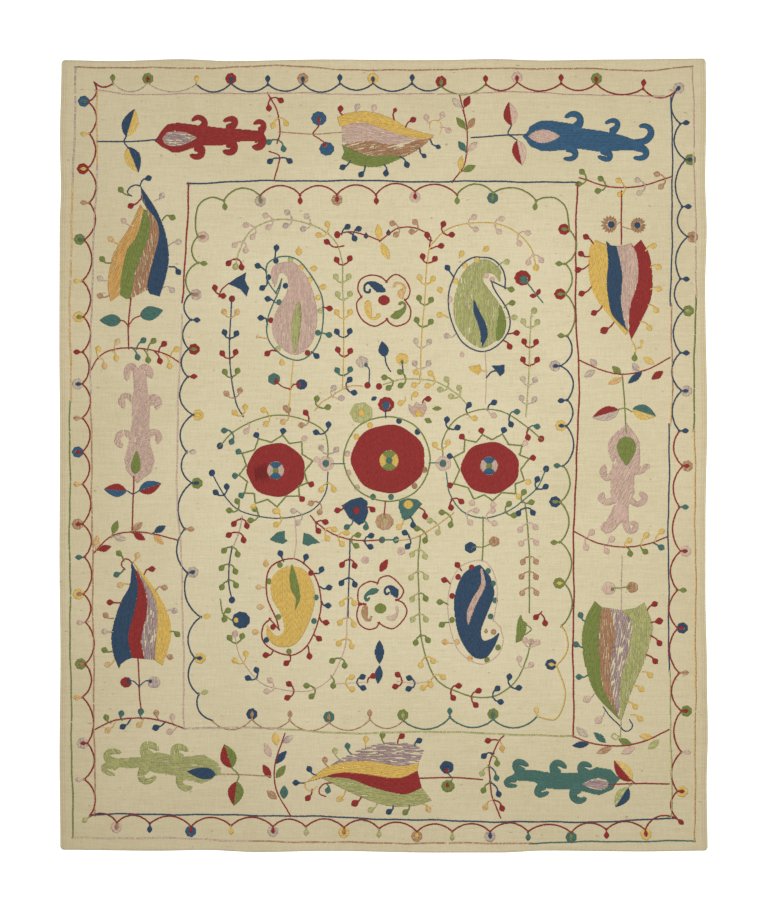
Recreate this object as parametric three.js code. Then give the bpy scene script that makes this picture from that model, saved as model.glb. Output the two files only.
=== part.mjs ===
// An embroidered kilim rug, laid out flat: one cream cloth woven in one piece, with ribbed selvedges down
// both long sides, narrow turned ends, hand-woven edges that wander a little, and soft ripples where the
// embroidery has drawn the cloth in.
//
// Millimetres, +X across the rug, +Y along it towards its top edge, +Z up. The origin is the middle of the
// underside.

import * as THREE from 'three';
import { mergeVertices } from 'three/addons/utils/BufferGeometryUtils.js';

// Driving dimensions of the cloth.
const rugWidth = 1600;
const rugLength = 1960;
const clothThickness = 3.0;

// The selvedge is a bundle of doubled warps at each side: two round ribs with a groove inside each.
const selvedgeRibPitch = 6;
const selvedgeRibCount = 2;
const selvedgeRibRise = 0.7;

// The ends are turned under once, so they stand a little higher than the field.
const endHemDepth = 18;
const endHemRise = 0.6;

// Corners are folded over the last warps, which leaves them slightly round.
const cornerRadius = 10;

// Height of the slow, uneven rise and fall of the hand-woven field, and its two wavelengths.
const fieldUnevenness = 0.25;
const fieldWaveAcross = 310;
const fieldWaveAlong = 430;

// How far each edge stands outside its straight line, read along that edge from its low end. The side
// edges run along Y and the ends run along X.
const leftEdge = [
  { at: -980, out: -1.0 },
  { at: -740, out: 1.0 },
  { at: -500, out: -1.2 },
  { at: -260, out: 1.2 },
  { at: 40, out: 0.0 },
  { at: 280, out: 1.6 },
  { at: 560, out: 0.8 },
  { at: 660, out: -2.2 },
  { at: 780, out: 0.0 },
  { at: 980, out: -4.0 },
];
const rightEdge = [
  { at: -980, out: 4.0 },
  { at: -820, out: 1.8 },
  { at: -690, out: 4.6 },
  { at: -540, out: 2.6 },
  { at: -340, out: -1.2 },
  { at: -160, out: -1.0 },
  { at: 90, out: 3.2 },
  { at: 420, out: -1.6 },
  { at: 560, out: 2.0 },
  { at: 680, out: -1.6 },
  { at: 860, out: 0.8 },
  { at: 980, out: -0.6 },
];
const bottomEdge = [
  { at: -800, out: -4.0 },
  { at: -560, out: -1.6 },
  { at: -440, out: -3.6 },
  { at: -310, out: 1.8 },
  { at: -140, out: -1.2 },
  { at: 130, out: 3.0 },
  { at: 290, out: 2.8 },
  { at: 400, out: -2.0 },
  { at: 640, out: 0.2 },
  { at: 800, out: -1.8 },
];
const topEdge = [
  { at: -800, out: -0.4 },
  { at: -670, out: -2.8 },
  { at: -500, out: 1.8 },
  { at: -380, out: -2.6 },
  { at: -140, out: 1.2 },
  { at: 100, out: -0.4 },
  { at: 280, out: 2.0 },
  { at: 400, out: -1.2 },
  { at: 560, out: 1.0 },
  { at: 800, out: 3.4 },
];

// Soft ripples in the cloth. Each is a long low swelling: where its middle lies, how far it runs along X
// and along Y, and how high it rises.
const ripples = [
  { name: 'top rule left', x: -520, y: 915, alongX: 300, alongY: 22, rise: 1.2 },
  { name: 'top rule right', x: 260, y: 925, alongX: 420, alongY: 20, rise: 0.8 },
  { name: 'inner rule left', x: -330, y: 705, alongX: 260, alongY: 24, rise: 0.9 },
  { name: 'left border', x: -735, y: 330, alongX: 26, alongY: 420, rise: 0.8 },
  { name: 'right border', x: 745, y: -150, alongX: 24, alongY: 500, rise: 0.7 },
  { name: 'bottom rule', x: 100, y: -900, alongX: 520, alongY: 22, rise: 0.9 },
  { name: 'centre rosette', x: 10, y: -6, alongX: 120, alongY: 110, rise: 0.5 },
];

// The mesh is fine where the selvedge and the hem need it and even in between.
const sideSteps = [0, 3, 6, 9, 12, 20];
const endSteps = [0, 5, 10, 18, 28];
const evenColumns = 22;
const evenRows = 30;

// Distances from one edge to the other: the fine steps at each end and even steps in between.
function meshLines(width, edgeSteps, evenCount) {
  const half = width / 2;
  const low = edgeSteps.map((step) => step - half);
  const high = edgeSteps.map((step) => half - step).reverse();
  const start = low[low.length - 1];
  const span = high[0] - start;
  const between = [];
  for (let index = 1; index < evenCount; index += 1) {
    between.push(start + (span * index) / evenCount);
  }
  return [...low, ...between, ...high];
}

// A smooth curve through an edge's rows, as a function of the place along that edge.
function edgeCurve(rows) {
  return (place) => {
    const last = rows.length - 2;
    const found = rows.findIndex((row, index) => index <= last && place <= rows[index + 1].at);
    const index = found < 0 ? last : found;
    const from = rows[index];
    const to = rows[index + 1];
    const share = THREE.MathUtils.smoothstep(place, from.at, to.at);
    return from.out + (to.out - from.out) * share;
  };
}

const leftOut = edgeCurve(leftEdge);
const rightOut = edgeCurve(rightEdge);
const bottomOut = edgeCurve(bottomEdge);
const topOut = edgeCurve(topEdge);

// The cloth is pulled with its edge, less and less towards the middle.
function pull(place, half) {
  return (Math.abs(place) / half) ** 3;
}

// Moves a point of the straight rectangle to its place in the wandering outline.
function outlinePoint(x, y) {
  const halfWidth = rugWidth / 2;
  const halfLength = rugLength / 2;
  const rounded = roundCorner(x, y, halfWidth - cornerRadius, halfLength - cornerRadius);
  const sideways = x < 0 ? -leftOut(y) : rightOut(y);
  const endways = y < 0 ? -bottomOut(x) : topOut(x);
  return {
    x: rounded.x + sideways * pull(x, halfWidth),
    y: rounded.y + endways * pull(y, halfLength),
  };
}

// Draws the square outside the corner's centre in to a quarter circle.
function roundCorner(x, y, centreX, centreY) {
  const overX = Math.abs(x) - centreX;
  const overY = Math.abs(y) - centreY;
  if (overX <= 0 || overY <= 0) {
    return { x, y };
  }
  const shrink = Math.max(overX, overY) / Math.hypot(overX, overY);
  return {
    x: Math.sign(x) * (centreX + overX * shrink),
    y: Math.sign(y) * (centreY + overY * shrink),
  };
}

// The rounded ribs of the selvedge, by the distance in from the side edge.
function selvedgeRise(inFromSide) {
  const depth = selvedgeRibPitch * selvedgeRibCount;
  if (inFromSide >= depth) {
    return 0;
  }
  return selvedgeRibRise * Math.abs(Math.sin((Math.PI * inFromSide) / selvedgeRibPitch));
}

// The turned end, by the distance in from the end.
function hemRise(inFromEnd) {
  return endHemRise * (1 - THREE.MathUtils.smoothstep(inFromEnd, endHemDepth * 0.7, endHemDepth));
}

// A ripple's height at a point: highest at its middle and gone past its reach.
function rippleRise(ripple, x, y) {
  const across = (x - ripple.x) / ripple.alongX;
  const along = (y - ripple.y) / ripple.alongY;
  return ripple.rise * Math.exp(-(across * across + along * along));
}

// Height of the upper face over the floor.
function topHeight(x, y) {
  const inFromSide = rugWidth / 2 - Math.abs(x);
  const inFromEnd = rugLength / 2 - Math.abs(y);
  const across = Math.sin((2 * Math.PI * x) / fieldWaveAcross + y / fieldWaveAlong);
  const along = Math.cos((2 * Math.PI * y) / fieldWaveAlong - x / fieldWaveAcross);
  const field = fieldUnevenness * across * along;
  const raised = ripples.reduce((sum, ripple) => sum + rippleRise(ripple, x, y), 0);
  return clothThickness + selvedgeRise(inFromSide) + hemRise(inFromEnd) + field + raised;
}

// The cloth as one closed sheet: a flat underside on the floor and an uneven upper face.
function clothGeometry() {
  const columns = meshLines(rugWidth, sideSteps, evenColumns);
  const rows = meshLines(rugLength, endSteps, evenRows);
  const across = columns.length - 1;
  const along = rows.length - 1;
  const slab = new THREE.BoxGeometry(across, along, 1, across, along, 1);
  slab.deleteAttribute('normal');
  slab.deleteAttribute('uv');
  const geometry = mergeVertices(slab);
  const points = geometry.getAttribute('position');
  for (let index = 0; index < points.count; index += 1) {
    const column = Math.round(points.getX(index) + across / 2);
    const row = Math.round(points.getY(index) + along / 2);
    const place = outlinePoint(columns[column], rows[row]);
    const isTop = points.getZ(index) > 0;
    points.setXYZ(index, place.x, place.y, isTop ? topHeight(columns[column], rows[row]) : 0);
  }
  return centred(geometry);
}

// Brings the outline's middle to the origin and leaves the underside at Z 0.
function centred(geometry) {
  geometry.computeBoundingBox();
  const box = geometry.boundingBox;
  geometry.translate(-(box.min.x + box.max.x) / 2, -(box.min.y + box.max.y) / 2, 0);
  geometry.computeVertexNormals();
  return geometry;
}

const creamCloth = new THREE.MeshStandardMaterial({ color: '#d6cba9', roughness: 0.95, metalness: 0 });

const rugCloth = new THREE.Mesh(clothGeometry(), creamCloth);
rugCloth.name = 'rug_cloth';

const rug = new THREE.Group();
rug.name = 'rug';
rug.add(rugCloth);

export default rug;
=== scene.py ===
"""An embroidered kilim rug laid out flat: a cream plain-woven cloth worked all over in coloured wool.

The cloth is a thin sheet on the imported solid's own outline and ripples. Every motif is then sewn on it
in real stitches: stem stitch for the lines and satin rows for the filled shapes. The pattern is drawn on
a chart whose step is one pixel of the photograph, with its Y axis running down the rug.
"""

import logging
import math
import random
from collections.abc import Callable, Sequence
from dataclasses import dataclass, field
from enum import Enum

import bmesh
import bpy
import numpy as np
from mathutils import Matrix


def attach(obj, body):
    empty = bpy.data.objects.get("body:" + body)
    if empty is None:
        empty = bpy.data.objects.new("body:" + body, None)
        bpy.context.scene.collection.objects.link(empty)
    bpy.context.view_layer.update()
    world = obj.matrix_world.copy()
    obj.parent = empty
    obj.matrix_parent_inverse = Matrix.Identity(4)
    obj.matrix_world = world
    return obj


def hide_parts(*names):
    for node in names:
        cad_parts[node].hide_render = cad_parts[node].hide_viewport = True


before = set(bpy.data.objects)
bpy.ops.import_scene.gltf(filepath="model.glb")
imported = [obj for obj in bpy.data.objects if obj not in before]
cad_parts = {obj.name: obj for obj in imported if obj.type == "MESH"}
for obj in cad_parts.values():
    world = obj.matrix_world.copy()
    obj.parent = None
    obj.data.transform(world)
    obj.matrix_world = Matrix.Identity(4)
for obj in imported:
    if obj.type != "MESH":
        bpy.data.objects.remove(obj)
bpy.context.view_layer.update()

LOG = logging.getLogger("rug")

MM = 0.001
CHART_STEP = 2.477 * MM
CHART_CENTRE = (383.6, 455.55)
PHOTO_CENTRE = (384.0, 456.0)
PHOTO_HEIGHT = 912
SEED = 41

Point = tuple[float, float]
Points = Sequence[Point]


def linear(code: str) -> tuple[float, float, float, float]:
    """Turns an sRGB hex colour into a linear one.

    Args:
        code: The colour as #RRGGBB.

    Returns:
        Linear red, green, blue and an alpha of one.
    """
    shares = [int(code[place:place + 2], 16) / 255 for place in (1, 3, 5)]
    light = [c / 12.92 if c <= 0.04045 else ((c + 0.055) / 1.055) ** 2.4 for c in shares]
    return (light[0], light[1], light[2], 1.0)


def to_metres(points: np.ndarray) -> np.ndarray:
    """Turns chart points into metres in the rug's own frame."""
    return (points - CHART_CENTRE) * (CHART_STEP, -CHART_STEP)


def to_chart(metres: float) -> float:
    """Turns a length in metres into chart steps."""
    return metres / CHART_STEP


def marks(text: str) -> list[Point]:
    """Reads chart points written as "x,y x,y"."""
    return [(float(x), float(y)) for x, y in (mark.split(",") for mark in text.split())]


# Curves and outlines on the chart


def respaced(path: np.ndarray, spacing: float) -> np.ndarray:
    """Walks along a path at an even pace.

    Args:
        path: The points of the path.
        spacing: The distance wanted from one point to the next.

    Returns:
        Points on the path, evenly apart, with both ends kept.
    """
    steps = np.linalg.norm(np.diff(path, axis=0), axis=1)
    reach = np.concatenate([[0.0], np.cumsum(steps)])
    count = max(1, int(round(reach[-1] / spacing)))
    places = np.linspace(0.0, reach[-1], count + 1)
    return np.stack([np.interp(places, reach, path[:, axis]) for axis in (0, 1)], axis=1)


def softened(points: Points, closed: bool = False, spacing: float = 1.0) -> np.ndarray:
    """Draws a smooth curve through a few points.

    Args:
        points: The points that it passes through.
        closed: Whether it comes back to its start.
        spacing: The distance between the points returned.

    Returns:
        The curve as evenly spaced points.
    """
    knots = np.asarray(points, float)
    if len(knots) < 3:
        return respaced(knots, spacing)
    if closed:
        padded = np.vstack([knots[-1:], knots, knots[:2]])
    else:
        padded = np.vstack([2 * knots[0] - knots[1], knots, 2 * knots[-1] - knots[-2]])
    share = np.linspace(0, 1, 12, endpoint=False)[:, None]
    spans = []
    for a, b, c, d in zip(padded, padded[1:], padded[2:], padded[3:]):
        cubic = (3 * b - a - 3 * c + d) * share**3
        square = (2 * a - 5 * b + 4 * c - d) * share**2
        spans.append((2 * b + (c - a) * share + square + cubic) / 2)
    spans.append(knots[:1] if closed else knots[-1:])
    return respaced(np.vstack(spans), spacing)


def normals(path: np.ndarray) -> np.ndarray:
    """Gives the unit vectors square to a path, on its left as the chart is read.

    Args:
        path: The path's points.

    Returns:
        A vector for each point.
    """
    ahead = np.gradient(path, axis=0)
    ahead /= np.maximum(np.linalg.norm(ahead, axis=1, keepdims=True), 1e-9)
    return np.stack([ahead[:, 1], -ahead[:, 0]], axis=1)


def tapered(spine: Points, widths: Sequence[float]) -> np.ndarray:
    """Gives a bent shape by its spine and its widths.

    Args:
        spine: The points of the middle line.
        widths: The full width at each of those points.

    Returns:
        The closed outline.
    """
    middle = softened(spine, spacing=0.7)
    knots = np.asarray(spine, float)
    nearest = [int(np.argmin(np.linalg.norm(middle - knot, axis=1))) for knot in knots]
    half = np.interp(np.arange(len(middle)), nearest, np.asarray(widths) / 2)
    side = normals(middle) * half[:, None]
    cap = (middle[-1] - middle[-2]) / np.linalg.norm(middle[-1] - middle[-2]) * half[-1]
    foot = (middle[0] - middle[1]) / np.linalg.norm(middle[0] - middle[1]) * half[0]
    return np.vstack([middle + side, middle[-1:] + cap, (middle - side)[::-1], middle[:1] + foot])


def bent(text: str) -> np.ndarray:
    """Draws a bent shape from its middle line and its widths.

    Args:
        text: The middle line's points, each "x,y,width".

    Returns:
        The closed outline.
    """
    rows = [[float(value) for value in row.split(",")] for row in text.split()]
    return tapered([(x, y) for x, y, _ in rows], [width for _, _, width in rows])


def placed(shape: np.ndarray, at: Point, heading: float) -> np.ndarray:
    """Turns and moves a shape that was drawn along +X from the origin.

    Args:
        shape: Its points.
        at: Where its origin goes on the chart.
        heading: The way its X axis points, in degrees from the chart's X towards its Y.

    Returns:
        The placed points.
    """
    angle = math.radians(heading)
    turn = np.array([[math.cos(angle), math.sin(angle)], [-math.sin(angle), math.cos(angle)]])
    return shape @ turn + at


def heading_of(start: Point, end: Point) -> float:
    """Gives the way from one chart point to another, in degrees."""
    return math.degrees(math.atan2(end[1] - start[1], end[0] - start[0]))


def petal(length: float, width: float, belly: float, side: int = 0) -> np.ndarray:
    """Draws a leaf or berry along +X, pointed at its base.

    Args:
        length: From base to tip.
        width: Across its widest place.
        belly: Where that is: under 1 nearer the base, over 1 nearer the tip.
        side: 0 for the whole shape, 1 or -1 for one half along the midrib.

    Returns:
        The closed outline.
    """
    share = np.linspace(0, 1, 15)
    half = width / 2 * np.sin(np.pi * share**belly) ** 0.85
    upper = np.stack([share * length, half if side != -1 else half * 0], axis=1)
    lower = np.stack([share * length, -half if side != 1 else half * 0], axis=1)
    return np.vstack([upper, lower[::-1][1:-1]])


def oval(centre: Point, width: float, height: float, lobes: int = 0, depth: float = 0.0) -> np.ndarray:
    """Draws an oval, its rim scalloped if it has lobes.

    Args:
        centre: Its middle.
        width: Its full width along the chart's X.
        height: Its full height along the chart's Y.
        lobes: How many scallops its rim has.
        depth: How deep they are, as a share of its radius.

    Returns:
        The closed outline.
    """
    turn = np.linspace(0, 2 * math.pi, 37)[:-1]
    reach = 1 - depth * (0.5 + 0.5 * np.cos(lobes * turn)) if lobes else np.ones_like(turn)
    return np.stack([np.cos(turn) * width, np.sin(turn) * height], axis=1) / 2 * reach[:, None] + centre


# The wool and its stitches


@dataclass(frozen=True)
class WoolDye:
    """One dye lot of two-ply embroidery wool.

    Attributes:
        slot: The record's material slot.
        colour: The dyed wool, as sRGB hex.
        unevenness: How much one length of it differs from the next.
        wear: How thin its lines and small shapes have worn, as a shade above the evenest one.
    """

    slot: str
    colour: str
    unevenness: float = 0.07
    wear: float = 0.0


class Yarn(Enum):
    """The wools that the rug is worked in."""

    RED = WoolDye("red_wool", "#9A3532")
    NAVY = WoolDye("navy_wool", "#384F67")
    BLUE = WoolDye("blue_wool", "#3D627E", 0.1)
    TEAL = WoolDye("teal_wool", "#50766B")
    GREEN = WoolDye("green_wool", "#818C49")
    LIGHT = WoolDye("light_green_wool", "#AFAE72", 0.17, 0.9)
    YELLOW = WoolDye("yellow_wool", "#DDBA63", 0.07, 0.9)
    GOLD = WoolDye("gold_wool", "#D2A561", 0.14, 1.4)
    PINK = WoolDye("pink_wool", "#CDAF9E", 0.14, 1.0)
    MAUVE = WoolDye("mauve_wool", "#A9908F", 0.2, 1.9)
    BROWN = WoolDye("brown_wool", "#AE8462", 0.18, 1.0)


def yarn_named(name: str) -> Yarn:
    """Finds a yarn by its plain lower-case name."""
    return Yarn[name.upper()]


class Stitch(Enum):
    """How the needle goes: stem stitch for lines and satin rows for filled shapes."""

    STEM = "lines"
    SATIN = "fills"


@dataclass(frozen=True)
class StitchForm:
    """The measures of one kind of stitch, in metres, and how many rings its mesh has along it."""

    length: float
    width: float
    height: float
    pitch: float
    stacks: int


# Both are two to three times as wide as the usual wool, so that single stitches show.
FORMS = {
    Stitch.STEM: StitchForm(9.0 * MM, 4.9 * MM, 1.5 * MM, 4.6 * MM, 3),
    Stitch.SATIN: StitchForm(17.0 * MM, 2.9 * MM, 1.0 * MM, 1.75 * MM, 4),
}


@dataclass
class Needle:
    """Lays stitches on the chart and keeps them by yarn and kind.

    Attributes:
        draws: The seeded source of the hand's unevenness.
        laid: For each yarn and kind, rows of x, y, angle, length, width, lift and shade, in metres.
    """

    draws: random.Random
    laid: dict[tuple[Yarn, Stitch], list[tuple[float, ...]]] = field(default_factory=dict)

    # The hand sways slowly and quickly along a line: the two waves, in chart steps to a radian.
    SWAYS = (17.0, 6.3)
    # It steadies over the last steps of a line.
    STEADY = 9.0
    # Stem stitches lie a little across their line, in degrees, and stray from it by a share of their width.
    SLANT = 7.0
    STRAY = 0.06
    # Stitches end to end overlap inside a row and barely pass the outline, in chart steps.
    OVERLAP = 0.8
    PAST_EDGE = 0.15
    # A gap shorter than this is left bare.
    SHORTEST = 0.25

    def lay(self, yarn: Yarn, kind: Stitch, row: tuple[float, ...]) -> None:
        """Keeps one stitch."""
        self.laid.setdefault((yarn, kind), []).append(row)

    def line(self, points: Points, yarn: Yarn, width: float = 1.0, missing: float = 0.0,
             closed: bool = False, soft: bool = True, wander: float = 0.3) -> None:
        """Works a line in stem stitch.

        Args:
            points: The points that the line passes through, on the chart.
            yarn: The wool.
            width: The thread's width, as a share of the usual one.
            missing: The share of stitches that have worn away or were never taken.
            closed: Whether the line comes back to its start.
            soft: Whether it bends smoothly at its points.
            wander: How far the hand strays to each side, in chart steps.
        """
        form = FORMS[Stitch.STEM]
        pitch = to_chart(form.pitch)
        if soft:
            path = softened(points, closed, pitch)
        else:
            path = respaced(np.asarray(points, float), pitch)
        if len(path) < 3:
            path = respaced(path, np.linalg.norm(path[-1] - path[0]) / 2)
        reach = np.arange(len(path)) * pitch
        phases = [self.draws.uniform(0, 6.3) for _ in range(2)]
        slow, quick = self.SWAYS
        stray = np.sin(reach / slow + phases[0]) + 0.5 * np.sin(reach / quick + phases[1])
        path = path + normals(path) * (stray * wander * np.minimum(1, reach[::-1] / self.STEADY))[:, None]
        ahead = np.gradient(path, axis=0)
        for place, way in zip(to_metres(path), ahead):
            if self.draws.random() < missing:
                continue
            angle = -math.atan2(way[1], way[0]) + math.radians(self.SLANT + self.draws.uniform(-3, 3))
            length = form.length * self.draws.uniform(0.88, 1.1)
            thread = form.width * width * self.draws.uniform(0.88, 1.1)
            jitter = form.width * self.STRAY
            x = place[0] + self.draws.uniform(-jitter, jitter)
            y = place[1] + self.draws.uniform(-jitter, jitter)
            shade = self.draws.uniform(-1, 1) + yarn.value.wear
            self.lay(yarn, Stitch.STEM, (x, y, angle, length, thread, 0.0, shade))

    def small(self, outline: np.ndarray, name: str, grain: float = 90.0,
              holes: Sequence[np.ndarray] = ()) -> None:
        """Fills a small shape, the pale wools worn thin.

        Args:
            outline: The closed outline, on the chart.
            name: The wool's plain name.
            grain: The way the rows run, in degrees.
            holes: Outlines inside it that stay bare.
        """
        yarn = yarn_named(name)
        self.fill(outline, yarn, grain, 1.0, holes, tone=lambda x, y: yarn.value.wear)

    def fill(self, outline: np.ndarray, yarn: Yarn, grain: float = 90.0, cover: float = 1.0,
             holes: Sequence[np.ndarray] = (), lift: float = 0.0,
             tone: Callable[[float, float], float] | None = None) -> None:
        """Fills an outline with rows of satin stitches.

        Args:
            outline: The closed outline, on the chart.
            yarn: The wool.
            grain: The way the rows run, in degrees from the chart's X towards its Y.
            cover: The share of the rows' stitches that are taken.
            holes: Outlines inside it that stay bare.
            lift: How far the stitches lie above the cloth, in metres.
            tone: Gives a shade to add to the stitch at a chart point, if any.
        """
        form = FORMS[Stitch.SATIN]
        angle = math.radians(grain)
        along = np.array([math.cos(angle), math.sin(angle)])
        across = np.array([-math.sin(angle), math.cos(angle)])
        rings = [np.stack([ring @ along, ring @ across], axis=1) for ring in (outline, *holes)]
        pitch = to_chart(form.pitch)
        low, high = rings[0][:, 1].min(), rings[0][:, 1].max()
        rows = max(1, int(round((high - low) / pitch)))
        pitch = (high - low) / rows
        for row in range(rows):
            level = low + pitch * (row + 0.5 + self.draws.uniform(-0.12, 0.12))
            for start, end in self.spans(rings, level):
                self.row(start, end, level, along, across, yarn, cover, lift, tone)

    @staticmethod
    def spans(rings: Sequence[np.ndarray], level: float) -> list[tuple[float, float]]:
        """Finds where a row lies inside an outline and outside its holes.

        Args:
            rings: The outline and its holes, turned so that rows run along X.
            level: The row's Y.

        Returns:
            The start and end of each stretch inside.
        """
        crossings: list[float] = []
        for ring in rings:
            after = np.roll(ring, -1, axis=0)
            hit = (ring[:, 1] <= level) != (after[:, 1] <= level)
            share = (level - ring[hit, 1]) / (after[hit, 1] - ring[hit, 1])
            crossings.extend(ring[hit, 0] + share * (after[hit, 0] - ring[hit, 0]))
        crossings.sort()
        return list(zip(crossings[::2], crossings[1::2]))

    def row(self, start: float, end: float, level: float, along: np.ndarray, across: np.ndarray,
            yarn: Yarn, cover: float, lift: float, tone: Callable[[float, float], float] | None) -> None:
        """Covers one stretch of a row with stitches end to end.

        Args:
            start: Where the stretch starts, along the row.
            end: Where it ends.
            level: The row's place across the rows.
            along: The rows' direction on the chart.
            across: The direction square to it.
            yarn: The wool.
            cover: The share of stitches that are taken.
            lift: How far they lie above the cloth, in metres.
            tone: Gives a shade to add at a chart point, if any.
        """
        form = FORMS[Stitch.SATIN]
        longest = to_chart(form.length)
        place = start
        while end - place > self.SHORTEST:
            step = longest * self.draws.uniform(0.75, 1.2)
            if place == start and end - start > longest * 1.3:
                step *= self.draws.uniform(0.35, 1.0)
            if end - place - step < longest * 0.35:
                step = end - place
            before = self.PAST_EDGE if place == start else self.OVERLAP
            after = self.PAST_EDGE if place + step >= end - 0.01 else self.OVERLAP
            middle = along * (place + (step + after - before) / 2) + across * level
            place += step
            if self.draws.random() > cover:
                continue
            x, y = to_metres(middle)
            angle = -math.atan2(along[1], along[0]) + math.radians(self.draws.uniform(-1.5, 1.5))
            length = (step + before + after) * CHART_STEP
            width = form.width * self.draws.uniform(0.88, 1.14)
            shade = self.draws.uniform(-1, 1)
            if tone is not None:
                shade += tone(middle[0], middle[1])
            self.lay(yarn, Stitch.SATIN, (x, y, angle, length, width, lift, shade))


# The cloth


@dataclass(frozen=True)
class Ripple:
    """A soft swelling in the cloth: its middle, its reach along X and Y and its rise, in millimetres."""

    x: float
    y: float
    along_x: float
    along_y: float
    rise: float


RIPPLES = (
    Ripple(-520, 915, 300, 22, 1.2),
    Ripple(260, 925, 420, 20, 0.8),
    Ripple(-330, 705, 260, 24, 0.9),
    Ripple(-735, 330, 26, 420, 0.8),
    Ripple(745, -150, 24, 500, 0.7),
    Ripple(100, -900, 520, 22, 0.9),
    Ripple(10, -6, 120, 110, 0.5),
)

# How far each edge stands outside its straight line: place along the edge and offset, in millimetres.
LEFT_EDGE = ((-980, -1.0), (-740, 1.0), (-500, -1.2), (-260, 1.2), (40, 0.0), (280, 1.6), (560, 0.8),
             (660, -2.2), (780, 0.0), (980, -4.0))
RIGHT_EDGE = ((-980, 4.0), (-820, 1.8), (-690, 4.6), (-540, 2.6), (-340, -1.2), (-160, -1.0), (90, 3.2),
              (420, -1.6), (560, 2.0), (680, -1.6), (860, 0.8), (980, -0.6))
BOTTOM_EDGE = ((-800, -4.0), (-560, -1.6), (-440, -3.6), (-310, 1.8), (-140, -1.2), (130, 3.0),
               (290, 2.8), (400, -2.0), (640, 0.2), (800, -1.8))
TOP_EDGE = ((-800, -0.4), (-670, -2.8), (-500, 1.8), (-380, -2.6), (-140, 1.2), (100, -0.4), (280, 2.0),
            (400, -1.2), (560, 1.0), (800, 3.4))


def edge_offset(rows: Points, place: np.ndarray) -> np.ndarray:
    """Reads an edge's offsets with a smooth step from row to row.

    Args:
        rows: The edge's place and offset pairs, in millimetres.
        place: Where to read it, in metres.

    Returns:
        The offsets in metres.
    """
    stations = np.array([row[0] for row in rows]) * MM
    offsets = np.array([row[1] for row in rows]) * MM
    index = np.clip(np.searchsorted(stations, place) - 1, 0, len(rows) - 2)
    share = np.clip((place - stations[index]) / (stations[index + 1] - stations[index]), 0, 1)
    return offsets[index] + (offsets[index + 1] - offsets[index]) * share * share * (3 - 2 * share)


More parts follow.
